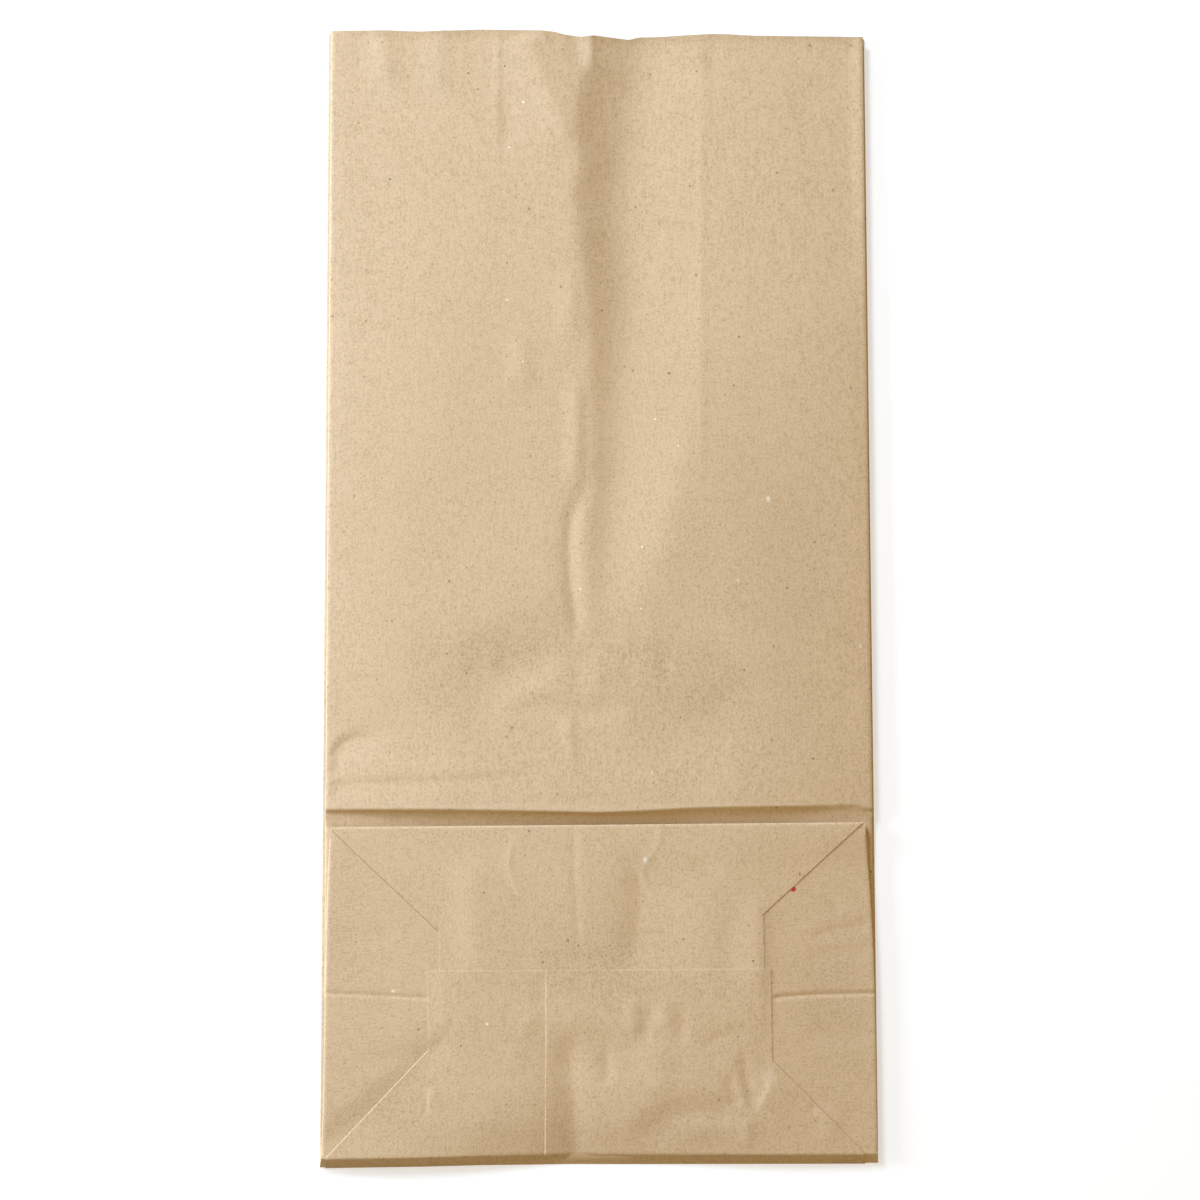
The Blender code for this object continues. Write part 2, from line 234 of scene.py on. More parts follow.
# Trough down the front wall, row by row: v, then (u, height in mm) of its left foot, left crest,
# floor, right crest and right foot
TROUGH = (
    (25, 500, 0, 588, 0.1, 640, -1.8, 700, -0.9, 860, -0.3),
    (60, 500, 0, 585, 0.3, 638, -2.2, 701, -0.9, 860, -0.3),
    (80, 500, 0, 582, 0.4, 635, -2.4, 702, -0.9, 860, -0.3),
    (100, 500, 0, 578, 0.4, 631, -2.4, 702, -0.9, 860, -0.3),
    (125, 505, 0, 577, 0.4, 627, -2.4, 702, -0.9, 860, -0.3),
    (150, 510, 0, 579, 0.4, 623, -2.3, 702, -0.9, 860, -0.3),
    (175, 515, 0, 579, 0.3, 620, -2.2, 702, -0.8, 860, -0.3),
    (200, 520, 0, 574, 0.2, 617, -2.0, 702, -0.7, 860, -0.3),
    (225, 520, 0, 579, 0.2, 618, -2.0, 702, -0.65, 860, -0.25),
    (250, 520, 0, 581, 0.2, 619, -2.0, 702, -0.6, 860, -0.2),
    (300, 520, 0, 588, 0.2, 624, -1.8, 702, -0.4, 860, -0.1),
    (350, 520, 0, 591, 0.15, 619, -1.4, 700, 0.0, 860, 0),
    (400, 520, 0, 591, 0.1, 616, -1.1, 694, 0.25, 860, 0),
    (450, 520, 0, 592, 0.05, 617, -1.0, 684, 0.6, 850, 0),
    (500, 530, 0, 589, 0.0, 611, -0.9, 674, 0.7, 830, 0),
    (550, 540, 0, 588, 0.0, 609, -0.75, 661, 0.65, 800, 0),
    (590, 550, 0, 590, 0.0, 606, -0.5, 646, 0.4, 760, 0),
    (625, 560, 0, 592, 0.0, 604, -0.1, 626, 0.1, 700, 0),
    (650, 560, 0, 592, 0.0, 604, 0.0, 620, 0.0, 690, 0))
TROUGH_SOFT = (30, 6, 18, 9, 40)


def trough(u, v):
    rows = np.array(TROUGH)
    at = [np.interp(v, rows[:, 0], rows[:, k]) for k in range(1, rows.shape[1])]
    return MM * hinged(u, list(zip(at[0::2], at[1::2])), TROUGH_SOFT)


WALL_RELIEF = [
    trough,
    # crest beside the trough
    crease((566, 265, 569, 300, 568, 350), -16, 3, 0.22, 14, 4),
    profile((576, 375, 577, 430, 576, 470, 576, 488), (-15, 0, 0, 0.30, 10, -0.02, 26, 0), 2.5),
    # S-shaped crease down the middle
    crease((588, 470, 582, 487, 575, 501, 568, 516, 565, 536), -8, 4, -0.26, 14, 3),
    profile((576, 500, 570, 530, 569, 560, 571, 590, 575, 620, 573, 652),
            (-26, 0, -8, -0.10, 0, -0.42, 12, 0.0, 30, 0), (6, 3, 2, 4, 6), (0.3, 0.25)),
    crease((573, 655, 577, 672, 578, 700), -8, 0, -0.12, 7, 3),
    crease((570, 712, 566, 735, 573, 765), -7, 3, 0.24, 9, 3),
    # straight lines over the gussets' inner folds
    crease((702, 40, 702, 200, 702, 420, 700, 520), -6, 0, 0.10, 5, 2),
    crease((497, 25, 497, 130, 497, 210), -5, 0, 0.12, 5, 2, (0, 0.5)),
    crease((378, 28, 380, 60, 382, 98), -12, 6, 0.34, 16, 4, (0, 0.4)),
    crease((438, 28, 434, 60, 431, 98), -10, 5, 0.26, 14, 4, (0, 0.4)),
    # wrinkles beside the trough at the mouth
    profile((528, 30, 536, 60, 548, 90, 562, 122, 574, 152),
            (-28, 0, 0, 0.46, 34, -0.30, 110, 0), (8, 4, 8, 30), (0.1, 0.25)),
    crease((500, 88, 506, 120, 504, 150), -10, 3, -0.20, 14, 4),
    crease((512, 335, 517, 360, 520, 392), -12, 6, 0.28, 18, 4),
    crease((706, 40, 710, 62, 708, 84), -8, 3, -0.20, 12, 3),
    # end of the trough: a slope down to an arc, the bumps below it and their foot
    crease((440, 725, 480, 700, 520, 672, 560, 652, 610, 645, 660, 640),
            -34, 0, -0.55, 62, 14, (0.3, 0.3)),
    dome(540, 686, 32, 14, 0.15, -24),
    dome(598, 676, 10, 20, 0.13),
    profile((505, 706, 545, 702, 575, 708, 630, 706), (-22, 0, -2, -0.30, 6, 0.04, 24, 0), 3),
    crease((466, 640, 476, 660, 470, 690), -12, 2, -0.12, 14, 4),
    crease((500, 632, 508, 655, 503, 676), -10, 2, -0.12, 12, 4),
    crease((632, 650, 628, 668, 634, 690), -10, 2, -0.12, 12, 4),
    crease((640, 760, 690, 735, 735, 700, 760, 650), -50, 0, -0.32, 60, 18),
    dome(718, 706, 16, 12, -0.12, -40),
    dome(664, 660, 9, 26, -0.12),
    # wrinkles at the left above the bottom
    profile((316, 766, 330, 750, 349, 736, 372, 732, 396, 737),
            (-30, 0, -3, -0.36, 4, 0.06, 30, 0), (8, 2, 2, 8), (0, 0.4)),
    profile((316, 785, 335, 782, 352, 780, 400, 778, 480, 776, 560, 767),
            (-26, 0, -2, -0.17, 1.5, 0.06, 28, 0), (6, 1, 1.2, 8), (0, 0.4)),
    # torn crease at the mouth and the curled cut edge
    profile((540, 27, 548, 43, 561, 54, 576, 66), (-5, 0, 0, 0.14, 4, -0.12, 9, 0), 1.5, (0, 0.3)),
    crease((593, 25, 593, 50, 591, 76), -12, 0, 0.24, 3, 2, (0, 0.3)),
    profile((566, 28, 570, 50, 577, 70), (-5, 0, 8, -0.34, 16, -0.1, 22, 0), 3, (0, 0.3)),
    # slow swells over the whole wall
    dome(430, 330, 90, 150, 0.25),
    dome(790, 300, 70, 170, 0.2),
    dome(470, 540, 70, 90, -0.2, 20),
    dome(780, 620, 80, 60, 0.2),
    dome(385, 640, 40, 60, 0.15),
]


def centre_sag(u, v):
    """The bottom sinks towards its lower crease between the gussets, where fewer plies lie under it."""
    middle = ease(u, 455, 575) * (1 - ease(u, 640, 800))
    wide = ease(u, 390, 520) * (1 - ease(u, 700, 870))
    return -MM * (0.85 * middle * ease(v, 1080, 1166) + 0.8 * wide * ease(v, 1118, 1176))


def right_fall(u, v):
    """The bottom falls away to the right-hand side fold."""
    return -0.9 * MM * ease(u, 700, 900) * ease(v, 822, 870)


PANEL_RELIEF = [
    centre_sag,
    right_fall,
    # front wall's flap
    crease((514, 830, 508, 862, 511, 878, 519, 900), -5, 0, 0.10, 4, 1.6),
    profile((574, 822, 574, 870, 577, 930, 578, 990), (-5, 0, 0, -0.09, 7, 0.02, 22, 0), 1.8, (0.1, 0.4)),
    profile((645, 838, 641, 880, 637, 930, 632, 985),
            (-46, 0, -20, -0.14, 0, -0.66, 70, 0), (12, 10, 4, 16), (0.4, 0.3)),
    crease((664, 822, 657, 846, 646, 862, 643, 875, 650, 898), -6, 0, 0.10, 4, 2, (0, 0.3)),
    dome(706, 868, 14, 10, -0.12, 30),
    crease((596, 842, 606, 850, 622, 866), -6, 0, 0.10, 8, 3),
    crease((460, 845, 462, 900, 466, 1000), -16, 12, 0.30, 60, 6),
    crease((748, 890, 750, 940, 752, 1000), -14, 8, 0.24, 22, 5),
    dome(729, 945, 12, 26, -0.12),
    # back wall's flap
    profile((574, 1018, 572, 1045, 570, 1070, 573, 1105, 577, 1180),
            (-52, 0, -24, -0.12, 0, -0.86, 16, -0.42, 70, 0), (16, 10, 4, 8, 16), (0.3, 0)),
    profile((622, 1138, 650, 1118, 684, 1104, 722, 1104, 752, 1116),
            (-34, 0, -9, -0.34, 10, 0.12, 44, 0), (8, 6, 6, 12)),
    crease((596, 978, 560, 990, 528, 985), -30, 0, -0.15, 30, 10),
    profile((427, 1084, 428, 1100, 430, 1120), (-8, 0, -2, -0.05, 3, 0.11, 12, 0), 2, (0.4, 0.4)),
    crease((604, 1040, 602, 1060, 606, 1090), -8, 2, -0.12, 12, 3.5),
    crease((520, 1040, 512, 1056, 510, 1078), -10, 2, 0.10, 14, 5),
    crease((434, 1052, 446, 1036, 458, 1018), -5, 0, -0.08, 9, 3),
    crease((625, 998, 629, 1014, 632, 1036), -9, 4, 0.18, 14, 3),
    crease((650, 1004, 643, 1020, 642, 1044), -9, 4, -0.18, 14, 3),
    crease((676, 1002, 680, 1022, 678, 1048), -8, 2, -0.16, 11, 3),
    crease((660, 1002, 664, 1016, 668, 1028), -7, 3, 0.16, 9, 3),
    crease((604, 1050, 606, 1066, 604, 1086), -5, 2, -0.18, 9, 2.5),
    crease((540, 1010, 527, 1022, 522, 1040), -10, 0, 0.18, 12, 5),
    profile((741, 1046, 744, 1070, 748, 1092, 753, 1114), (-7, 0.04, 1, -0.24, 12, 0), 1.8),
    crease((727, 1074, 730, 1090, 738, 1108), -8, 2, -0.22, 9, 2.5),
    crease((771, 1074, 766, 1090, 757, 1108), -4, 3, 0.20, 36, (1.5, 2, 10)),
    dome(761, 1066, 9, 12, -0.14),
    crease((744, 1118, 746, 1134, 744, 1150), -7, 2, 0.2, 9, 3),
    dome(703, 1128, 22, 10, 0.2),
    crease((745, 1032, 720, 1038, 702, 1050), -6, 0, -0.14, 6, 3),
    crease((812, 1098, 814, 1119), -4, 1, -0.14, 5, 2),
    crease((648, 1040, 652, 1070, 648, 1100), -18, 6, 0.2, 30, 6),
    crease((840, 1095, 828, 1130, 820, 1152), -12, 2, 0.14, 14, 4),
    # side flaps
    profile((305, 992, 380, 995, 430, 998), (-3, 0, -0.5, -0.21, 2.5, 0.02, 14, 0), 0.8, (0, 0.04)),
    profile((770, 998, 810, 995, 890, 993), (-3, 0, -0.5, -0.28, 3.5, 0.05, 18, 0), 0.8, (0.04, 0)),
    profile((335, 1060, 395, 1052, 434, 1043, 452, 1038),
            (-22, 0, -4, -0.18, 5, 0.03, 22, 0), 4, (0.4, 0.3)),
    profile((300, 1150, 345, 1118, 382, 1088, 428, 1048, 462, 1014),
            (-62, 0, -8, -0.34, 8, 0.04, 44, 0), (14, 4, 4, 12), (0, 0.4)),
    profile((798, 874, 822, 890, 836, 902, 842, 918), (-4, 0, -1, -0.20, 4, 0.06, 10, 0), 1.5),
    profile((826, 900, 846, 912, 880, 930), (-4, 0, -1, -0.16, 4, 0.05, 10, 0), 1.8),
    profile((806, 940, 828, 930, 852, 926, 880, 918), (-8, 0, -2, -0.16, 6, 0.05, 18, 0), 2.5),
    profile((800, 958, 830, 952, 860, 950, 884, 944), (-8, 0, -2, -0.10, 6, 0.03, 14, 0), 2.5),
    crease((800, 1040, 834, 1034, 880, 1038), -10, -2, -0.14, 10, 4),
    crease((330, 930, 360, 938, 404, 934), -10, -2, -0.14, 10, 4),
    crease((330, 968, 366, 962, 410, 972), -9, -2, -0.12, 9, 4),
    crease((345, 862, 338, 850, 334, 838), -4, 0, 0.08, 4, 2),
]


# Lines across the bag, as photograph pixels
LOWER_LINE = [(321, 1168), (420, 1166.5), (480, 1165), (560, 1164), (877, 1163.5)]
CREASE_LINE = [(320, 827.7), (331.8, 827.5), (863.5, 822.5), (880, 822.3)]
RIDGE_LINE = [(321, 808.5), (450, 809), (560, 811), (600, 812), (650, 810), (700, 807), (800, 805.5),
              (858, 804), (868, 807), (880, 809)]
MOUTH_LINE = [(329, 31), (390, 31), (420, 32), (450, 31), (480, 30), (541, 31), (553, 32), (563, 34.5),
              (582, 37), (595, 35.5), (612, 37), (630, 38.5), (638, 35.8), (660, 35.5), (690, 34), (720, 33),
              (750, 35), (800, 35.8), (864, 36.5)]
RIDGE = GUSSET + RIDGE_SET
RIDGE_TOP = 3.9 * MM
MOUTH_TOP = 2.6 * MM
WALL_TOP = 3.3 * MM


def line_shift(line, z, at):
    """How far a line across the bag lies beyond the straight line at t = at, as a function of x."""
    x, t = from_photo(*zip(*line), z)
    return lambda places: np.interp(places, x, t - at)


LOWER_SHIFT = line_shift(LOWER_LINE, level(BACK), 0)
CREASE_SHIFT = line_shift(CREASE_LINE, level(BOTTOM), GUSSET)
RIDGE_SHIFT = line_shift(RIDGE_LINE, RIDGE_TOP, RIDGE)
MOUTH_SHIFT = line_shift(MOUTH_LINE, MOUTH_TOP, LENGTH)
WARP_RUN = 22 * MM


def warp(x, t):
    """Shift along the bag that bends straight rows of the sheet onto the lines seen in the photograph."""
    lower = LOWER_SHIFT(x) * (1 - ease(t, 0, CROTCH))
    slope = GUSSET + RIDGE_SET / 2
    upper = CREASE_SHIFT(x) * ease(t, CROTCH, GUSSET) * (1 - ease(t, GUSSET, slope))
    ridge = RIDGE_SHIFT(x) * ease(t, slope, RIDGE) * (1 - ease(t, RIDGE, RIDGE + WARP_RUN))
    mouth = MOUTH_SHIFT(x) * ease(t, LENGTH - WARP_RUN, LENGTH)
    return lower + upper + ridge + mouth


# Side folds, as insets from the back wall's side folds at places along the bag
BACK_EDGE = WIDTH / 2 - PAPER / 2
FRONT_INSET = {LEFT: 0.85 * MM, RIGHT: 0.55 * MM}
TUCK_PLACES = np.array([0, 16, 38, 50, 65, 76, GUSSET / MM]) * MM
FLAP_TUCK = {LEFT: np.array([0.5, 0.9, 1.1, 1.25, 1.5, 1.9, 2.1]) * MM,
             RIGHT: np.array([0.35, 0.4, 0.5, 0.75, 1.45, 2.2, 2.6]) * MM}


def flap_edge(t, side):
    return BACK_EDGE - np.interp(t, TUCK_PLACES, FLAP_TUCK[side])


def front_edge(side):
    return BACK_EDGE - FRONT_INSET[side]


def return_edge(t, side):
    corner = flap_edge(GUSSET, side)
    return mix(front_edge(side), corner, ramp(t, CROTCH, GUSSET))


SIDE_HEIGHT = {LEFT: 2.6 * MM, RIGHT: 2.2 * MM}
SIDE_ROLL = {LEFT: 30 * MM, RIGHT: 34 * MM}
ROLL_POWER = 1.6
RIDGE_FADE = 20 * MM
MOUTH_CURL = 0.30 * MM        # the cut edge turns up by this
CURL_RUN = 2.6 * MM
CURL_SIDE = 0.15              # share of the side roll over which the curl grows
RISE_BOW = 0.2                # how much the step above the bottom is bowed
CLEAR_BACK = 0.45 * MM        # lowest the middle of the front wall's paper comes
CLEAR_SOFT = 0.12 * MM
MARKS_START = 2 * MM          # the wall's marks grow from this far before the ridge
MARKS_FULL = 3 * MM           # to this far beyond it
QUIET_SIDE = 0.12             # share of the side roll over which they die away


def side_height(t, side):
    """Height of the front wall's side folds."""
    return mix(level(FRONT), SIDE_HEIGHT[side], ramp(t, GUSSET, RIDGE))


def by_side(x, values):
    return np.where(x < 0, values[LEFT], values[RIGHT])


def side_roll(x):
    """0 at the front wall's side folds, 1 where it lies at its full height."""
    return ramp(BACK_EDGE - by_side(x, FRONT_INSET) - np.abs(x), 0, by_side(x, SIDE_ROLL))


def front_height(x, t):
    """Middle of the front wall's ply, without its marks."""
    crest = mix(RIDGE_TOP, WALL_TOP, ease(t, RIDGE, RIDGE + RIDGE_FADE))
    crest = mix(crest, MOUTH_TOP, ease(t, RIDGE + RIDGE_FADE, LENGTH))
    roll = side_roll(x)
    free = mix(by_side(x, SIDE_HEIGHT), crest, 1 - (1 - roll) ** ROLL_POWER)
    rise = ramp(t, GUSSET, RIDGE)
    curl = MOUTH_CURL * ease(roll, 0, CURL_SIDE) * ramp(t, LENGTH - CURL_RUN, LENGTH) ** 2
    return mix(level(FRONT), free, rise * (1 - RISE_BOW + RISE_BOW * rise)) + curl


def wall_marks(x, t, z):
    u, v = to_photo(x, t, z)
    marks = sum(shape(u, v) for shape in WALL_RELIEF)
    return marks * ease(side_roll(x), 0, QUIET_SIDE) * ease(t, RIDGE - MARKS_START, RIDGE + MARKS_FULL)


def above_back(z):
    """Heights of the front wall kept off the back wall, with a soft floor to the trough."""
    over = z - CLEAR_BACK
    return CLEAR_BACK + (over + np.sqrt(over * over + CLEAR_SOFT * CLEAR_SOFT)) / 2


def panel_marks(x, t):
    """Relief of the square bottom, which presses the plies under it too."""
    u, v = to_photo(x, t, level(BOTTOM))
    return sum(shape(u, v) for shape in PANEL_RELIEF)


# Glued flaps of the square bottom, each a single ply laid over the side flaps
UPPER_FLAP_LEFT = [(331.8, 827.6), (438.8, 931.5), (439.8, 1012)]
UPPER_FLAP_RIGHT = [(863.5, 822.6), (763.2, 914.5), (764.6, 1012)]
LOWER_FLAP_LEFT = [(426.6, 969.5), (428.5, 1050), (325.5, 1158.5)]
LOWER_FLAP_RIGHT = [(771.2, 969.5), (772.5, 1060), (869.5, 1157.5)]
FLAP_RISE = 0.13 * MM         # from the middle of a side flap's paper to the middle of a flap's
COVER_SINK = 0.12 * MM        # how far the hidden paper under the flaps is pressed down
COVER_EDGE = (0.3 * MM, 1.7 * MM)     # the sinking starts and is full this far inside a flap's edges
COVER_LOW = (3.5 * MM, 6 * MM)        # and this far above the lower crease


def boundary(line):
    """A flap's edge as (x, t) places, from the photograph."""
    return from_photo(*zip(*line), level(BOTTOM) + FLAP_RISE)


UPPER_EDGES = boundary(UPPER_FLAP_LEFT), boundary(UPPER_FLAP_RIGHT)
LOWER_EDGES = boundary(LOWER_FLAP_LEFT), boundary(LOWER_FLAP_RIGHT)
UPPER_END = UPPER_EDGES[0][1][2]
LOWER_REACH = (LOWER_EDGES[0][1][0] + LOWER_EDGES[1][1][0]) / 2


def flap_sides(edges, t):
    """Left and right edge of a flap at t."""
    return [np.interp(-t, -line[1], line[0]) for line in edges]


def within(edges, x, t):
    """Distance inwards from a flap's side edges, negative outside them."""
    left, right = flap_sides(edges, t)
    return np.minimum(x - left, right - x)


def covered(x, t):
    """1 well under the flaps, 0 on the visible side flaps and at the lower crease."""
    under_upper = np.minimum(within(UPPER_EDGES, x, t), t - UPPER_END)
    under_lower = np.minimum(within(LOWER_EDGES, x, t), LOWER_REACH - t)
    deep = ease(np.maximum(under_upper, under_lower), *COVER_EDGE)
    return deep * ease(t, *COVER_LOW)


# Pale marks where creases and edges are rubbed: points, half width in pixels and strength
RUBBED = (
    ((377, 38, 380, 60, 383, 94), 7, 0.34), ((437, 38, 434, 60, 431, 94), 5, 0.28),
    ((497, 34, 497, 70, 497, 112), 1.8, 0.42), ((588, 40, 590, 66), 4, 0.45),
    ((541, 31, 549, 45, 565, 55, 575, 68), 1.6, 0.35), ((701, 60, 702, 200), 1.5, 0.15),
    ((514, 837, 508, 862, 511, 878, 518, 895), 1.7, 0.75),
    ((662, 832, 655, 850, 645, 862, 642, 875, 650, 900), 1.7, 0.45), ((577, 832, 577, 880), 2, 0.30),
    ((460, 870, 464, 960), 9, 0.16), ((750, 905, 750, 1000), 8, 0.14),
    ((771, 1072, 766, 1090, 759, 1106), 2.6, 0.60), ((428, 1090, 428, 1114), 1.8, 0.60),
    ((371, 1110, 370, 1136), 1.8, 0.25), ((742, 1086, 744, 1110), 2.2, 0.35),
    ((627, 1005, 630, 1028), 4, 0.22), ((657, 1008, 664, 1020), 4, 0.22),
    ((590, 1078, 588, 1140), 7, 0.14), ((700, 1122, 722, 1128), 8, 0.14))


# Patches of painted shade, mottled by noise: u, v, half width and half height in pixels, and strength
SHADE_PATCHES = (
    (603, 965, 62, 34, 0.9), (500, 650, 58, 24, 0.8), (640, 662, 80, 28, 0.8), (706, 694, 50, 36, 0.7),
    (600, 80, 26, 60, 0.5), (600, 220, 22, 90, 0.5), (790, 560, 70, 80, 0.4), (840, 1000, 40, 90, 0.6),
    (390, 1110, 60, 40, 0.6), (700, 1125, 90, 34, 0.5), (360, 900, 40, 60, 0.4), (830, 90, 40, 60, 0.5),
    (560, 1130, 90, 30, 0.5), (740, 700, 90, 60, 0.3))


def patch_shade(u, v):
    total = 0 * u
    for u0, v0, across, down, strength in SHADE_PATCHES:
        total = np.maximum(total, strength * np.exp(-((u - u0) / across) ** 2 - ((v - v0) / down) ** 2))
    return total


def rubbed(u, v):
    total = 0 * u
    for points, half_width, strength in RUBBED:
        distance = path_frame(u, v, np.reshape(points, (-1, 2)))[0]
        total = np.maximum(total, strength * np.exp(-(distance / half_width) ** 2))
    return total


# Folded sheet, lofted from cross-sections of its plies
FOLD_TURN = (45, 90, 135)
CROTCH_TURN = (0, 45, 90, 135, 180)
CREASE_TURN = (25, 50, 72)
GUSSET_START = 5 * MM
PLAIN_CORNER = 0.6 * MM
START_SLICES = 5
GUSSET_COLUMNS = 6
CROTCH_CENTRE = (level(FRONT) + level(FRONT_RETURN)) / 2
CROTCH_REACH = level(TUCK_BACK) - CROTCH_CENTRE
FLAP_OFFSET = 0.2 * MM        # ring's crease and strip lie this far inside the flaps' paper
CREASE_RADIUS = (level(BOTTOM) - level(FRONT_RETURN)) / 2
FLAT_END = GUSSET - FLAP_OFFSET - CREASE_RADIUS
SEAM_X = -12.8 * MM
SEAM_STEP = 0.06 * MM


def stretches(parts):
    """Places from stretches given as (start, end, steps)."""
    places = [parts[0][0]]
    for start, end, steps in parts:
        places += [mix(start, end, (i + 1) / steps) for i in range(steps)]
    return np.array(places)


# Columns of vertices, as shares of a ply's half width
FRONT_COLUMNS = stretches([(-1, -0.94, 5), (-0.94, -0.42, 16), (-0.42, -0.34, 8), (-0.34, -0.24, 5),
                           (-0.24, 0.02, 32), (0.02, 0.34, 16), (0.34, 0.44, 9), (0.44, 0.94, 14),
                           (0.94, 1, 5)])
PANEL_COLUMNS = stretches([(-1, -0.96, 4), (-0.96, -0.34, 40), (-0.34, 0.34, 6), (0.34, 0.96, 44),
                           (0.96, 1, 4)])
SEAM_SHARE = SEAM_X / BACK_EDGE
SEAM_SHARES = SEAM_SHARE + np.array([-SEAM_STEP, 0.0]) / BACK_EDGE
BACK_COLUMNS = np.concatenate([stretches([(-1, -0.5, 5), (-0.5, SEAM_SHARE - 0.04, 4)]), SEAM_SHARES,
                               stretches([(SEAM_SHARE + 0.04, 0.4, 5), (0.4, 1, 6)])])


PLAIN, WALL, STACK, FLAP = range(4)   # what the relief does to a run of paper
ACROSS_SHIFT = 0.4                    # keeps the fibre coordinates of the side flaps apart
FRONT_ABOVE = 2.45 * MM               # the front wall's and the flaps' paper lies above this
RIDGE_PAINTED_LIGHT = 0.35                     # painted light: the shaded slope between front wall and bottom is painted paler
RIDGE_GAP = 0.3 * MM                  # the painted light ends this far before the ridge


class Sheet:
    """Vertices and faces of the folded paper, gathered run by run."""

    def __init__(self):
        self.rows = []
        self.count = 0
        self.faces = []

    def run(self, x, t, z, kind=PLAIN, across=False, wear_light_shade=0.0):
        """A row of vertices. across is for paper whose fibres run across the bag."""
        row = np.broadcast_arrays(np.asarray(x, float), t, z, float(kind), float(across), wear_light_shade)
        self.rows.append(np.stack(row, axis=-1))
        first = self.count
        self.count += len(row[0])
        return list(range(first, self.count))

    def bridge(self, *rows):
        """Faces between rows, one row after another."""
        for row, other in zip(rows, rows[1:]):
            for i in range(len(row) - 1):
                self.faces.append((row[i], row[i + 1], other[i + 1], other[i]))

    def loft(self, rings):
        """Faces between rings, each a tuple of rows."""
        for ring, following in zip(rings, rings[1:]):
            for row, other in zip(ring, following):
                self.bridge(row, other)

    def settled(self):
        """Places with the paper's relief, fibre coordinates, wear with painted light and shade, and patches
        of painted shade.
        """
        x, t, z, kind, across, wear_light_shade = np.concatenate(self.rows).T
        turned = np.stack([t, x + ACROSS_SHIFT, z], -1)
        fibres = np.where(across[:, None] > 0, turned, np.stack([x, t, z], -1))
        t = t + warp(x, t)
        panel = panel_marks(x, t)
        stack = z / level(BOTTOM) * (panel - COVER_SINK * covered(x, t))
        wall = above_back(z + wall_marks(x, t, z)) - z
        relief = np.choose(kind.astype(int), [0 * z, wall, stack, panel])
        # Painted light: the shaded slope below the ridge is painted paler, less towards the side folds
        slope = (kind == WALL) & (t < RIDGE - RIDGE_GAP)
        wear_light_shade = np.where(slope, RIDGE_PAINTED_LIGHT * side_roll(x), wear_light_shade)
        outer = (kind == WALL) | (kind == FLAP)
        pixels = to_photo(x, t, z)
        wear_light_shade = np.where(outer & (wear_light_shade >= 0), np.maximum(wear_light_shade, rubbed(*pixels)), wear_light_shade)
        # Painted shade in mottled patches, on the outer paper only
        patch_dark = patch_shade(*pixels) * (z > FRONT_ABOVE)
        return np.stack([x, t - LENGTH / 2, z + relief], -1), fibres, wear_light_shade, patch_dark


def half_turn(tip, start, end, side):
    """Fold of the paper from height start to height end; side is 1 outwards and -1 inwards."""
    radius = (start - end) / 2
    angles = [math.radians(degrees) for degrees in FOLD_TURN]
    return [(tip - side * radius * (1 - math.sin(a)), end + radius * (1 + math.cos(a))) for a in angles]


def open_fold(tip):
    """Inner fold of the gusset below the crotch, with a point for each step of the crotch's turn."""
    upper = half_turn(tip, level(TUCK_BACK), level(TUCK_FRONT), -1)
    lower = half_turn(tip, level(GUSSET_FRONT), level(GUSSET_BACK), -1)
    radius = upper[1][1] - CROTCH_CENTRE
    wall = [(tip, CROTCH_CENTRE + radius * math.cos(math.radians(a))) for a in CROTCH_TURN]
    return [upper[0]] + wall + [lower[2]]


def spread(start, end, count):
    return [mix(start, end, i / (count - 1)) for i in range(count)]


def side_chain(ply_edges, heights, depth, is_open):
    """Gusset from the top ply to the bottom ply, as (distance from the middle, height) points."""
    top_edge, bottom_edge = ply_edges
    top, upper_out, upper_in, lower, bottom = heights
    formed = float(ramp(depth, 0, GUSSET_START))
    tip = BACK_EDGE - max(depth, GUSSET_START)
    top_radius = (top - upper_out) / 2
    bottom_radius = (lower - bottom) / 2
    inner = open_fold(tip) if is_open else half_turn(tip, upper_in, lower, -1)
    inner_radius = (level(TUCK_BACK) - level(TUCK_FRONT)) / 2 if is_open else (upper_in - lower) / 2
    upper = zip(spread(top_edge - top_radius, tip + inner_radius, GUSSET_COLUMNS),
                spread(upper_out, upper_in, GUSSET_COLUMNS))
    under = zip(spread(tip + inner_radius, bottom_edge - bottom_radius, GUSSET_COLUMNS),
                [lower] * GUSSET_COLUMNS)
    full = half_turn(top_edge, top, upper_out, 1) + list(upper) + inner + list(under)
    full += half_turn(bottom_edge, lower, bottom, 1)
    chain = []
    for index, (x, z) in enumerate(full, start=1):
        share = index / (len(full) + 1)
        chain.append((mix(mix(top_edge, bottom_edge, share), x, formed),
                      mix(mix(top, bottom, share), z, formed)))
    return chain, top_radius * formed, bottom_radius * formed


ARM = len(FOLD_TURN) + GUSSET_COLUMNS + 1


def across_ply(columns, left, right):
    """Places across a ply whose halves are as wide as given, for columns from -1 to 1."""
    return np.where(columns < 0, columns * left, columns * right)


def section(t, edges, heights, depth, top, bottom, is_open=False):
    """Four runs of (x, z) round the plies at t: over the top, in the right fold, under, in the left.

    edges and heights hold a left and a right entry. top and bottom are the ply's columns and its height.
    """
    sides = [side_chain(edges[k], heights[k], depth, is_open) for k in (0, 1)]
    left, right = sides[0][0], sides[1][0]
    top_x = across_ply(top[0], edges[0][0] - sides[0][1], edges[1][0] - sides[1][1])
    bottom_x = across_ply(bottom[0], edges[0][1] - sides[0][2], edges[1][1] - sides[1][2])
    over = list(zip(top_x, top[1](top_x, t)))
    under = list(zip(bottom_x, bottom[1](bottom_x, t)))[::-1]
    outer_left = [(-x, z) for x, z in reversed(left)]
    return (outer_left[-ARM - 1:] + over + right[:ARM + 1], right[ARM + 1:-ARM - 1],
            right[-ARM - 1:] + under + outer_left[:ARM + 1], outer_left[ARM + 1:-ARM - 1])


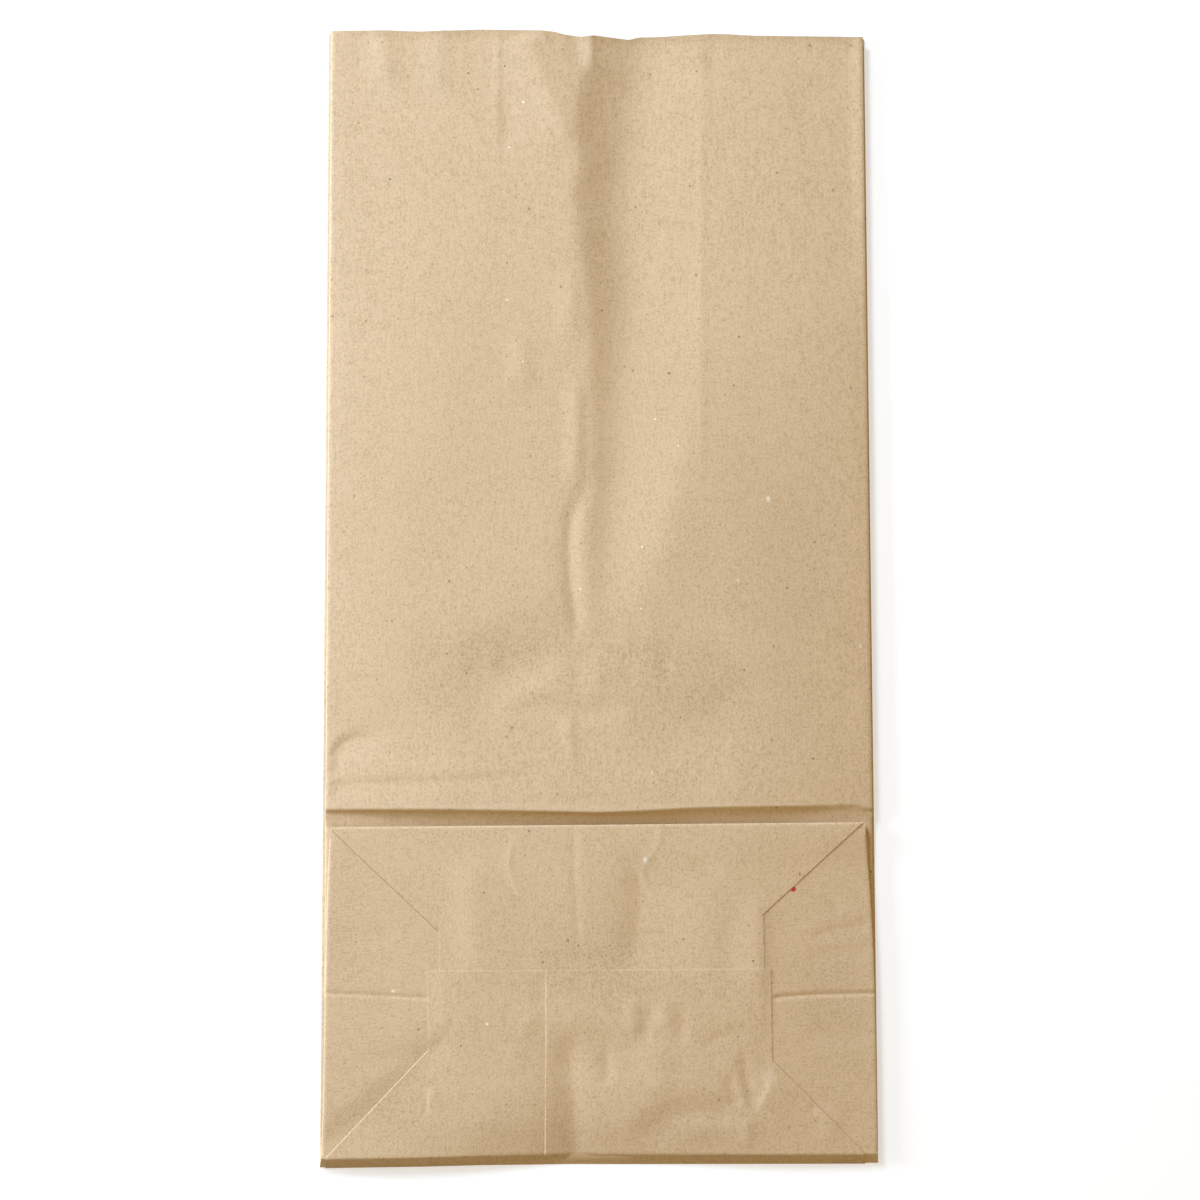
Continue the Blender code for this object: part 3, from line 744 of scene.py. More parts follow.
def lean(t, z):
    """Set-back of the upper plies near the lower crease, which makes the sloped strip."""
    strip = STRIP_RUN * (1 - ramp(t, 0, STRIP_EASE)) ** 2
    return strip * ramp(z, level(BACK), level(BOTTOM))


def place(sheet, points, t, kind=STACK, across=False):
    x = np.array([p[0] for p in points])
    z = np.array([p[1] for p in points])
    return sheet.run(x, t + lean(t, z), z, kind, across)


def flat(height):
    return lambda x, t: np.full(np.shape(x), height)


# Slack places of the back wall: x, t, half width, half length and height, in mm
BACK_SLACK = ((30, 175, 16, 46, 0.22), (-38, 120, 13, 34, 0.18), (6, 238, 9, 26, 0.16))
BESIDE_SEAM = 5 * MM


def back_height(x, t):
    """Back wall: it lies flat, apart from the step beside the lengthwise seam and a few slack places."""
    beside = np.where(x < SEAM_X - SEAM_STEP / 2, 1 - ramp(SEAM_X - x, 0, BESIDE_SEAM), 0)
    slack = 0
    for x0, t0, across, along, height in BACK_SLACK:
        away = ((x - x0 * MM) / (across * MM)) ** 2 + ((t - t0 * MM) / (along * MM)) ** 2
        slack = slack + height * np.exp(-away)
    return level(BACK) + PAPER * beside + slack * MM


def lower_section(t):
    """Bottom panel, tucked gusset, back gusset and back wall, between lower crease and crotch."""
    heights = (level(BOTTOM), level(TUCK_BACK), level(TUCK_BACK), level(GUSSET_BACK), level(BACK))
    edges = [(flap_edge(t, side), BACK_EDGE) for side in (LEFT, RIGHT)]
    start = PLAIN_CORNER + FLAP_OFFSET
    return section(t, edges, [heights] * 2, max(0, t - start), (PANEL_COLUMNS, flat(level(BOTTOM))),
                   (BACK_COLUMNS, back_height), is_open=True)


def upper_section(t, turn=0.0):
    """Bottom panel, tucked gusset and the front wall's return, between crotch and upper crease."""
    middle = (level(BOTTOM) + level(FRONT_RETURN)) / 2
    half = CREASE_RADIUS * math.cos(math.radians(turn))
    top, bottom = middle + half, middle - half
    heights = (top, level(TUCK_BACK), level(TUCK_BACK), level(TUCK_FRONT), bottom)
    edges = [(flap_edge(t, side), return_edge(t, side)) for side in (LEFT, RIGHT)]
    depth = min(FLAT_END - t, CROTCH)
    return section(t, edges, [heights] * 2, depth, (PANEL_COLUMNS, flat(top)),
                   (FRONT_COLUMNS, flat(bottom)))


def body_section(t):
    """Front wall, front and back gusset and back wall, from the crotch to the mouth."""
    tops = [side_height(t, side) for side in (LEFT, RIGHT)]
    heights = [(top, top - PITCH, level(GUSSET_FRONT), level(GUSSET_BACK), level(BACK)) for top in tops]
    edges = [(front_edge(side), BACK_EDGE) for side in (LEFT, RIGHT)]
    return section(t, edges, heights, CROTCH, (FRONT_COLUMNS, front_height), (BACK_COLUMNS, back_height))


def lower_rows(sheet):
    end = CROTCH - CROTCH_REACH - PITCH
    starts = [FLAP_OFFSET] + spread(PLAIN_CORNER + FLAP_OFFSET, GUSSET_START, START_SLICES)
    rings = []
    for t in starts[:-1] + spread(GUSSET_START, end - 2 * MM, 24) + spread(end - 1.5 * MM, end, 4):
        top, right, bottom, left = lower_section(t)
        top = place(sheet, top, t, across=True)
        bottom = place(sheet, bottom, t)
        right = [top[-1]] + place(sheet, right, t) + [bottom[0]]
        left = [bottom[-1]] + place(sheet, left, t) + [top[0]]
        rings.append((top, right, bottom, left))
    sheet.loft(rings)
    return rings


def close_lower_crease(sheet, ring):
    """Sloped strip that joins the back wall to the bottom panel."""
    top, right, bottom, left = ring
    centre_top, centre_bottom = len(top) // 2, len(bottom) // 2
    sheet.faces.append(tuple(top[centre_top:] + right[1:-1] + bottom[:centre_bottom + 1]))
    sheet.faces.append(tuple(bottom[centre_bottom:] + left[1:-1] + top[:centre_top + 1]))


def ring_row(sheet, sections, t, kinds, across=False):
    """A ring whose upper and lower runs share the vertices at the two inner folds."""
    top = place(sheet, sections[0], t, kinds[0], across)
    bottom = [top[-1]] + place(sheet, sections[2][1:-1], t, kinds[1]) + [top[0]]
    return top, bottom


def upper_rows(sheet):
    kinds = (STACK, STACK)
    near_crotch = spread(CROTCH, CROTCH + 2 * MM, 6)
    stations = near_crotch + spread(CROTCH + 3 * MM, FLAT_END, 32)
    rows = [ring_row(sheet, upper_section(t), t, kinds, across=True) for t in stations]
    for turn in CREASE_TURN:
        t = FLAT_END + CREASE_RADIUS * math.sin(math.radians(turn))
        rows.append(ring_row(sheet, upper_section(FLAT_END, turn), t, kinds))
    sheet.loft(rows)
    top, bottom = rows[-1]
    sheet.faces.append(tuple(top + bottom[1:-1]))
    return rows


WALL_STATIONS = stretches([(CROTCH, GUSSET - 4 * MM, 4), (GUSSET - 4 * MM, GUSSET, 3),
                           (GUSSET, RIDGE - 1.2 * MM, 8), (RIDGE - 1.2 * MM, RIDGE + 1.2 * MM, 8),
                           (RIDGE + 1.2 * MM, RIDGE + 16 * MM, 21), (RIDGE + 16 * MM, 126 * MM, 18),
                           (126 * MM, 238 * MM, 56), (238 * MM, LENGTH - CURL_RUN, 20),
                           (LENGTH - CURL_RUN, LENGTH, 5)])


def body_rows(sheet):
    rows = []
    for t in WALL_STATIONS:
        kinds = (STACK, STACK) if t < GUSSET else (WALL, PLAIN)
        rows.append(ring_row(sheet, body_section(t), t, kinds))
    sheet.loft(rows)
    return rows


SPAN_SHARES = (0.22, 0.42, 0.6, 0.8)  # extra rows of the bottom panel above the crotch's fold


def crotch(sheet, lower_ring, upper_row, body_row):
    """Fold where the front wall and its gussets turn back up under the bottom panel."""
    start = upper_row[1]
    end = list(reversed(body_row[0]))
    places = np.concatenate(sheet.rows)
    high, low = places[start], places[end]
    radius = (high[:, 2] - low[:, 2]) / 2
    rows = [start]
    for degrees in CROTCH_TURN[1:-1]:
        angle = math.radians(degrees)
        x = mix(high[:, 0], low[:, 0], (1 - math.cos(angle)) / 2)
        t = CROTCH - radius * math.sin(angle)
        rows.append(sheet.run(x, t, low[:, 2] + radius * (1 + math.cos(angle)), STACK))
    rows.append(end)
    sheet.bridge(*rows)
    top, right, bottom, left = lower_ring
    sheet.bridge(right, [row[0] for row in rows])
    sheet.bridge(list(reversed(left)), [row[-1] for row in rows])
    sheet.bridge(bottom, body_row[1])
    panel = [top]
    for share in SPAN_SHARES:
        x, t, z = mix(places[top], places[upper_row[0]], share).T[:3]
        panel.append(sheet.run(x, t, z, STACK, across=True))
    sheet.bridge(*panel, upper_row[0])


# Glued flaps. The tones are painted shade, darker than the paper, where they are negative
OVERLAP_RISE = 0.13 * MM      # more where the back wall's flap lies on the front wall's
OVERLAP_SIDE = (-2.6 * MM, 1.5 * MM)  # it rises over this run across the front wall's flap's edges
OVERLAP_END = 9 * MM          # and over this run before its end
FOLD_ROUND = 0.22 * MM
FOLD_DROP = 0.08 * MM
SEAM_RISE = 0.05 * MM
SEAM_FADE = (8 * MM, 12 * MM)
SEAM_MARK = (-0.07 * MM, 0.16 * MM)
STRIP_PAINTED_SHADE = -0.14            # painted shade on the lower crease's sloped strip
FOLD_PAINTED_SHADE = -0.55             # painted shade along the folded edges of the front wall's flap
SHADED_LINE = -0.05           # folded edges on the side away from the light
CUT_LINE = 0.75               # pale fibres along cut edges
LIT_LINE = 0.2 * CUT_LINE     # the back wall's flap's folded edge towards the light
SEAM_LINE = 0.5
LINE_WIDTH = 0.2 * MM
FLAP_TURN = 0.2 * MM          # run of the front wall's flap over the upper crease
FLAP_TURNS = (18, 36, 54, 72, 90)
TOOTH = 1.9 * MM              # saw teeth of the back wall's flap's right-hand cut edge
TOOTH_DEPTH = 0.22 * MM
TOOTH_START = 1 * MM          # from the slanted fold
STRIP_TOP = STRIP_RUN + 0.1 * MM      # where the sloped strip of the lower crease ends
STRIP_START = STRIP_RUN + 0.35 * MM   # first row of the flap above it
STRIP_FOOT = level(BACK) + 0.03 * MM
LAST_ROWS = (0.4 * MM, 0.15 * MM)     # before the end of the back wall's flap
STRIP_TURN = ((0.94, 0.02), (0.85, 0.1), (0.6, 0.38), (0.35, 0.64), (0.1, 0.88), (0.0, 1.0))
STRIP_BULGE = 0.006
EDGE_COLUMNS = np.array([0, 0.07, 0.16, 0.3]) * MM
EDGE_GAP = 0.6 * MM
SEAM_COLUMNS = np.array([-0.06, 0.0, 0.14, 0.2]) * MM


def flap_rows(sheet, edges, stations, columns, height, wear_light_shade, teeth=None):
    """Grid between a flap's side edges; teeth gives how far its right edge is cut back at t."""
    rows = []
    for t in stations:
        start, end = flap_sides(edges, t)
        if teeth:
            end = end - teeth(t)
        middle = across_ply(columns, SEAM_X - start - EDGE_GAP, end - EDGE_GAP - SEAM_X)
        x = np.concatenate([start + EDGE_COLUMNS, SEAM_X + middle, end - EDGE_COLUMNS[::-1]])
        edge = np.minimum(x - start, end - x)
        rows.append(sheet.run(x, t, level(BOTTOM) + height(x, t, edge), FLAP, wear_light_shade=wear_light_shade(x, t, edge)))
    sheet.bridge(*rows)
    return rows


def round_fold(edge):
    """Drop of a folded edge towards the ply it lies on."""
    share = 1 - ramp(edge, 0, FOLD_ROUND)
    return FOLD_DROP * (1 - np.sqrt(1 - share * share))


def upper_flap(sheet):
    """The front wall's flap, which turns over the upper crease into the wall."""
    notch = [line[1][1] for line in UPPER_EDGES]

    def folded(x, t):
        return np.where(x < 0, t > notch[0], t > notch[1])

    def height(x, t, edge):
        return FLAP_RISE - round_fold(edge) * folded(x, t)

    def wear_light_shade(x, t, edge):
        # Painted shade along folded edges, pale fibres along cut edges
        tone = np.where(folded(x, t), np.where(x < 0, FOLD_PAINTED_SHADE, SHADED_LINE), CUT_LINE)
        return tone * (edge < LINE_WIDTH)

    end = GUSSET - FLAP_TURN
    stations = sorted(set(spread(UPPER_END, end, 88) + notch))
    columns = stretches([(-1, -0.5, 48), (-0.5, 0, 40), (0, 0.66, 90), (0.66, 1, 54)])
    rows = flap_rows(sheet, UPPER_EDGES, stations, columns, height, wear_light_shade)
    centre = level(BOTTOM) + FLAP_RISE - CREASE_RADIUS
    last = rows[-1]
    x = sheet.rows[-1][:, 0]
    for turn in FLAP_TURNS:
        angle = math.radians(turn)
        row = sheet.run(x, end + FLAP_TURN * math.sin(angle), centre + CREASE_RADIUS * math.cos(angle))
        sheet.bridge(last, row)
        last = row


def lap_height(x, t):
    """Rise of the back wall's flap over the front wall's flap and over the ply at its seam."""
    beside = ease(within(UPPER_EDGES, x, t), *OVERLAP_SIDE)
    over_upper = beside * ease(t - UPPER_END, -OVERLAP_END, 0)
    seam = np.where(x > SEAM_X - SEAM_STEP / 2, 1 - ramp(x - SEAM_X, *SEAM_FADE), 0)
    return OVERLAP_RISE * over_upper + SEAM_RISE * seam


def lower_tone(x, t, edge, notch):
    """Pale lines along the cut edges and the seam of the back wall's flap, painted highlight on its folded
    edge towards the light and painted shade on the one away from it.
    """
    seam_line = SEAM_LINE * ((x > SEAM_X + SEAM_MARK[0]) & (x < SEAM_X + SEAM_MARK[1]))
    lit = np.where(t < notch[0], LIT_LINE, CUT_LINE)
    side = np.where((t < notch[1]) & (x > 0), SHADED_LINE, lit) * (edge < LINE_WIDTH)
    top_line = CUT_LINE * (t > LOWER_REACH - LINE_WIDTH)
    return np.where(side == 0, np.maximum(seam_line, top_line), side)


def lower_flap(sheet):
    """The back wall's flap, which turns over the lower crease into the back wall."""
    notch = [line[1][1] for line in LOWER_EDGES]

    def height(x, t, edge):
        folded = np.where(x < 0, t < notch[0], t < notch[1])
        return FLAP_RISE + lap_height(x, t) - round_fold(edge) * folded

    def wear_light_shade(x, t, edge):
        return lower_tone(x, t, edge, notch)

    def teeth(t):
        share = abs((t / TOOTH) % 1 - 0.5) * 2
        return TOOTH_DEPTH * share * float(t > notch[1] + TOOTH_START)

    ends = [LOWER_REACH - LAST_ROWS[1], LOWER_REACH]
    stations = sorted(set(spread(STRIP_START, LOWER_REACH - LAST_ROWS[0], 88) + notch + ends))
    half = LOWER_EDGES[1][0][0] - SEAM_X
    columns = np.concatenate([stretches([(-1, -0.3, 48), (-0.3, -0.006, 16)]), SEAM_COLUMNS / half,
                              stretches([(0.01, 0.55, 78), (0.55, 1, 72)])])
    top = flap_rows(sheet, LOWER_EDGES, stations, columns, height, wear_light_shade, teeth)[0]
    x, _, high = sheet.rows[-len(stations)].T[:3]
    for share, drop in STRIP_TURN:
        wider = x * (1 + STRIP_BULGE * (1 - share))
        # Painted shade on the sloped strip of the lower crease
        row = sheet.run(wider, STRIP_TOP * share, mix(high, STRIP_FOOT, drop), STACK, wear_light_shade=STRIP_PAINTED_SHADE)
        sheet.bridge(row, top)
        top = row


def tube(sheet):
    """Walls, gussets and the closed square bottom."""
    lower = lower_rows(sheet)
    close_lower_crease(sheet, lower[0])
    upper = upper_rows(sheet)
    body = body_rows(sheet)
    crotch(sheet, lower[-1], upper[0], body[0])


def flaps(sheet):
    """The two glued ends of the walls."""
    upper_flap(sheet)
    lower_flap(sheet)


MERGE = 0.6 * PAPER
SHARP = math.radians(48)


def paper_mesh(name, shape):
    sheet = Sheet()
    shape(sheet)
    mesh = bpy.data.meshes.new(name)
    places, fibres, wear_light_shade, patch_dark = sheet.settled()
    mesh.from_pydata(places.tolist(), [], sheet.faces)
    for key, kind, field, values in (("fibres", "FLOAT_VECTOR", "vector", fibres),
                                     ("wear_light_shade", "FLOAT", "value", wear_light_shade),
                                     ("patch_shade", "FLOAT", "value", patch_dark)):
        attribute = mesh.attributes.new(key, kind, "POINT")
        attribute.data.foreach_set(field, values.astype(np.float32).ravel())
    return mesh


def placed(name, data):
    holder = bpy.data.objects.new(name, data)
    bpy.context.scene.collection.objects.link(holder)
    return holder


def paper(name, shape):
    """A piece of the sheet at the paper's thickness."""
    mesh = paper_mesh(name, shape)
    bm = bmesh.new()
    bm.from_mesh(mesh)
    bmesh.ops.remove_doubles(bm, verts=bm.verts, dist=MERGE)
    bmesh.ops.triangulate(bm, faces=bm.faces)
    bmesh.ops.recalc_face_normals(bm, faces=bm.faces)
    bm.to_mesh(mesh)
    bm.free()
    piece = placed(name, mesh)
    thickness = piece.modifiers.new("paper", "SOLIDIFY")
    thickness.thickness = PAPER
    thickness.offset = 0
    evaluated = piece.evaluated_get(bpy.context.evaluated_depsgraph_get())
    piece.data = bpy.data.meshes.new_from_object(evaluated)
    piece.modifiers.clear()
    for vertex in piece.data.vertices:
        vertex.co.z = max(vertex.co.z, 0.0)
    piece.data.shade_smooth()
    piece.data.set_sharp_from_angle(angle=SHARP)
    return piece


# Materials

SPECK_LEAST = 0.35            # smallest random speck, as a share of the given radius
SPECK_SOFT = 0.6              # a speck's soft rim, as a share of its radius
PLACED_SHARP = 2.5            # the higher, the sharper the rim of a placed speck


class Nodes:
    """Short ways to add and link nodes in a material or the world."""

    def __init__(self, owner):
        owner.use_nodes = True
        self.tree = owner.node_tree
        self.shader = self.tree.nodes.get("Principled BSDF")

    def add(self, kind, **values):
        node = self.tree.nodes.new(kind)
        for key, value in values.items():
            setattr(node, key, value)
        return node

    def link(self, source, target):
        self.tree.links.new(source, target)

    def feed(self, sockets, values):
        """Sets sockets to plain values and links them to the others."""
        for socket, value in zip(sockets, values):
            if isinstance(value, (int, float, tuple, list)):
                socket.default_value = value
            else:
                self.link(value, socket)

    def math(self, operation, a, b, clamp=False):
        node = self.add("ShaderNodeMath", operation=operation, use_clamp=clamp)
        self.feed(node.inputs, (a, b))
        return node.outputs[0]

    def times(self, a, b, clamp=False):
        return self.math("MULTIPLY", a, b, clamp)

    def plus(self, a, b, clamp=False):
        return self.math("ADD", a, b, clamp)

    def scaled(self, vector, scale):
        node = self.add("ShaderNodeVectorMath", operation="MULTIPLY")
        self.feed(node.inputs, (vector, scale))
        return node.outputs[0]

    def texture(self, kind, vector, per_mm, **values):
        """Texture with per_mm = (across, along, through) waves or cells a millimetre."""
        node = self.add(kind, **values)
        node.inputs["Scale"].default_value = 1.0
        self.link(self.scaled(vector, [1000 * k for k in per_mm]), node.inputs["Vector"])
        return node

    def noise(self, vector, per_mm, detail, roughness):
        """Noise from 0 to 1."""
        node = self.texture("ShaderNodeTexNoise", vector, per_mm, noise_dimensions="3D")
        node.inputs["Detail"].default_value = detail
        node.inputs["Roughness"].default_value = roughness
        return node.outputs["Fac"]

    def specks(self, vector, per_mm, size, chance):
        """Scattered specks, 1 inside: one in some of the cells of a jittered grid."""
        node = self.texture("ShaderNodeTexVoronoi", vector, per_mm, voronoi_dimensions="3D", feature="F1")
        pick = self.add("ShaderNodeSeparateColor")
        self.link(node.outputs["Color"], pick.inputs[0])
        chosen = self.math("LESS_THAN", pick.outputs[0], chance)
        radius = self.times(self.plus(pick.outputs[1], SPECK_LEAST), size)
        reach = self.math("DIVIDE", node.outputs["Distance"], radius)
        inside = self.math("SUBTRACT", 1.0, reach, clamp=True)
        inside = self.math("DIVIDE", inside, SPECK_SOFT, clamp=True)
        return self.times(inside, chosen)

    def mix(self, factor, a, b, blend="MIX"):
        node = self.add("ShaderNodeMix", data_type="RGBA", blend_type=blend)
        self.feed((node.inputs[0], node.inputs[6], node.inputs[7]), (factor, a, b))
        return node.outputs[2]


KRAFT = (0.684, 0.520, 0.341, 1.0)
# Dark fibres of the specks; the same colour is the painted shade along folded edges, on the sloped strip and
# in the patches
DARK_FIBRE_AND_SHADE = (0.20, 0.125, 0.065, 1.0)
FIBRE_LIGHT = (0.95, 0.90, 0.80, 1.0)
# Pale colour of wear, also used for painted light on the slope below the ridge and on a folded edge towards
# the light
PALE_WEAR_AND_LIGHT = (0.80, 0.68, 0.52, 1.0)
INK = (0.55, 0.06, 0.04, 1.0)
PIXEL = 0.237 * MM            # of the photograph, on the bag

# The paper's noises: waves a millimetre across, along and through it, detail, roughness and strength
NOISES = (((2.1, 1.8, 1.0), 2.5, 0.7, 1.05), ((0.75, 0.6, 0.6), 2.0, 0.5, 0.34),
          ((2.6, 0.28, 1.0), 1.5, 0.5, 0.28), ((0.11, 0.09, 0.1), 3.0, 0.5, 0.16))
PALE_SLOPE = 0.4              # the pale side of the noises is held down to this
ROUGHNESS = (0.12, 0.72)      # share of the grain, and the value it is added to
GLOSS = 0.25
BUMP_STRENGTH = 0.35
BUMP_DEPTH = 0.05 * MM
STREAK_BUMP = 0.5             # height of the streaks against that of the grain
CHANNEL_POWERS = (0.9, 1.0, 1.25)
WEAR_AND_LIGHT_SHARE = 0.6
PATCH_MOTTLE = ((1.3, 1.3, 1.0), 4.0, 0.75)   # noise that mottles the patches of painted shade
MOTTLE_ABOVE = 0.50
MOTTLE_EDGE = 8.0
MOTTLE_SHARE = 0.36
MOTTLE_EVEN = 0.05

# Scattered specks: cells a millimetre, radius, share of the cells that have one, strength and colour
SPECKS = (((0.50, 0.34, 0.5), 0.13, 0.40, 0.42, DARK_FIBRE_AND_SHADE),
          ((0.22, 0.19, 0.3), 0.072, 0.55, 0.62, DARK_FIBRE_AND_SHADE),
          ((0.10, 0.07, 0.2), 0.05, 0.35, 0.70, FIBRE_LIGHT))

# Specks in the pulp that stand out in the photograph: u, v and radius in pixels
DARK_SPECKS = (
    (468, 73, 1.3), (478, 89, 1.2), (505, 66, 1.2), (651, 70, 1.1), (697, 69, 1.2), (390, 179, 1.4),
    (561, 287, 1.2), (602, 310, 1.3), (739, 337, 1.4), (669, 373, 1.8), (633, 370, 1.2), (366, 321, 1.1),
    (507, 263, 1.1), (636, 205, 1.2), (787, 588, 1.4), (815, 542, 1.3), (813, 757, 1.3), (744, 670, 1.2),
    (392, 621, 1.2), (447, 654, 1.2), (512, 727, 1.3), (568, 940, 1.5), (578, 945, 1.2), (753, 961, 1.5),
    (484, 891, 1.3), (800, 874, 1.3), (461, 1046, 1.2))
LIGHT_SPECKS = (
    (523, 102, 1.4), (509, 147, 1.2), (507, 300, 1.2), (523, 362, 1.1), (839, 342, 1.1), (655, 419, 1.2),
    (580, 589, 1.1), (642, 547, 1.2), (641, 609, 1.1), (678, 446, 1.1), (487, 1024, 1.6), (402, 1040, 1.3))
INK_SPECK = (793.5, 888.8, 3.4)       # peeps out from under the front wall's flap, on the right side flap


def signed(nodes, noise, amount):
    """Noise turned into a factor around 1."""
    return nodes.plus(nodes.times(nodes.math("SUBTRACT", noise, 0.5), amount), 1.0)


def placed_specks(nodes, fibres, specks, across=False):
    """1 on specks given by their place in the photograph, on the visible paper only."""
    parts = nodes.add("ShaderNodeSeparateXYZ")
    nodes.link(fibres, parts.inputs[0])
    level_place = nodes.scaled(fibres, (1, 1, 0))
    total = 0.0
    for u, v, radius in specks:
        x, t = (float(k) for k in from_photo(u, v, level(BOTTOM)))
        away = nodes.add("ShaderNodeVectorMath", operation="DISTANCE")
        nodes.link(level_place, away.inputs[0])
        away.inputs[1].default_value = (t, x + ACROSS_SHIFT, 0) if across else (x, t, 0)
        share = nodes.math("DIVIDE", away.outputs["Value"], radius * PIXEL)
        inside = nodes.times(nodes.math("SUBTRACT", 1.0, share, clamp=True), PLACED_SHARP, clamp=True)
        total = nodes.math("MAXIMUM", total, inside)
    return nodes.times(total, nodes.math("GREATER_THAN", parts.outputs[2], FRONT_ABOVE))


def paper_tone(nodes, noises):
    """Factor on the paper's colour, from its noises."""
    tone = 1.0
    for noise, row in zip(noises, NOISES):
        tone = nodes.times(tone, signed(nodes, noise, row[3]))
    return nodes.math("MINIMUM", tone, nodes.plus(nodes.times(tone, PALE_SLOPE), 1 - PALE_SLOPE))


def wear_and_painted_light(nodes, fibres, colour):
    """Pale lines of wear and painted light along creases and edges, darker lines of painted shade, and
    mottled patches of painted shade.
    """
    wear_light_shade = nodes.add("ShaderNodeAttribute", attribute_name="wear_light_shade").outputs["Fac"]
    patch_dark = nodes.add("ShaderNodeAttribute", attribute_name="patch_shade").outputs["Fac"]
    # Positive values are wear and painted light, negative ones painted shade
    colour = nodes.mix(nodes.times(wear_light_shade, WEAR_AND_LIGHT_SHARE, clamp=True), colour, PALE_WEAR_AND_LIGHT)
    colour = nodes.mix(nodes.times(wear_light_shade, -1.0, clamp=True), colour, DARK_FIBRE_AND_SHADE)
    # Mottled patches of painted shade
    mottle = nodes.noise(fibres, *PATCH_MOTTLE)
    spots = nodes.times(nodes.math("SUBTRACT", mottle, MOTTLE_ABOVE), MOTTLE_EDGE, clamp=True)
    spots = nodes.plus(nodes.times(spots, MOTTLE_SHARE), MOTTLE_EVEN)
    return nodes.mix(nodes.times(spots, patch_dark), colour, DARK_FIBRE_AND_SHADE)


def specked(nodes, fibres, colour):
    """Scattered specks, then those placed as in the photograph."""
    for cells, size, chance, strength, shade in SPECKS:
        share = nodes.times(nodes.specks(fibres, cells, size, chance), strength)
        colour = nodes.mix(share, colour, shade)
    for specks, strength, shade, across in ((DARK_SPECKS, 0.75, DARK_FIBRE_AND_SHADE, False),
                                            (LIGHT_SPECKS, 1.0, FIBRE_LIGHT, False),
                                            ([INK_SPECK], 1.0, INK, True)):
        share = nodes.times(placed_specks(nodes, fibres, specks, across), strength)
        colour = nodes.mix(share, colour, shade)
    return colour


def kraft():
    material = bpy.data.materials.new("kraft_paper")
    nodes = Nodes(material)
    fibres = nodes.add("ShaderNodeAttribute", attribute_name="fibres").outputs["Vector"]
    noises = [nodes.noise(fibres, *row[:3]) for row in NOISES]
    grain, _, streaks, _ = noises
    shade = nodes.add("ShaderNodeCombineColor")
    tone = paper_tone(nodes, noises)
    for channel, power in enumerate(CHANNEL_POWERS):
        nodes.link(nodes.math("POWER", tone, power), shade.inputs[channel])
    colour = nodes.mix(1.0, KRAFT, shade.outputs[0], "MULTIPLY")
    colour = specked(nodes, fibres, wear_and_painted_light(nodes, fibres, colour))
    nodes.link(colour, nodes.shader.inputs["Base Color"])
    rough = nodes.plus(nodes.times(grain, ROUGHNESS[0]), ROUGHNESS[1])
    nodes.link(rough, nodes.shader.inputs["Roughness"])
    nodes.shader.inputs["Specular IOR Level"].default_value = GLOSS
    bump = nodes.add("ShaderNodeBump")
    bump.inputs["Strength"].default_value = BUMP_STRENGTH
    bump.inputs["Distance"].default_value = BUMP_DEPTH
    nodes.link(nodes.plus(nodes.times(streaks, STREAK_BUMP), grain), bump.inputs["Height"])
    nodes.link(bump.outputs[0], nodes.shader.inputs["Normal"])
    return material


# Studio

FLOOR_SIZE = 4.0
FLOOR_COLOUR = (0.72, 0.72, 0.72, 1.0)
FLOOR_ROUGHNESS = 0.9
FLOOR_GLOSS = 0.1
FLOOR_GLOW = (0.85, 0.91, 1.0, 1.0)
FLOOR_LIFT = 0.52             # camera-only glow that takes the lit floor to white and leaves the shadow
SKY = (1.0, 0.74, 0.35)       # warm fill, which the cooler lamps bring back to white on the flat
SKY_LEVEL = 0.46
LAMP_COLOUR = (0.655, 0.800, 1.0)


def seen_or_mirrored(nodes):
    """1 for what the camera sees directly, in a reflection or through glass."""
    path = nodes.add("ShaderNodeLightPath")
    total = nodes.plus(path.outputs["Is Camera Ray"], path.outputs["Is Glossy Ray"])
    return nodes.plus(total, path.outputs["Is Transmission Ray"], clamp=True)


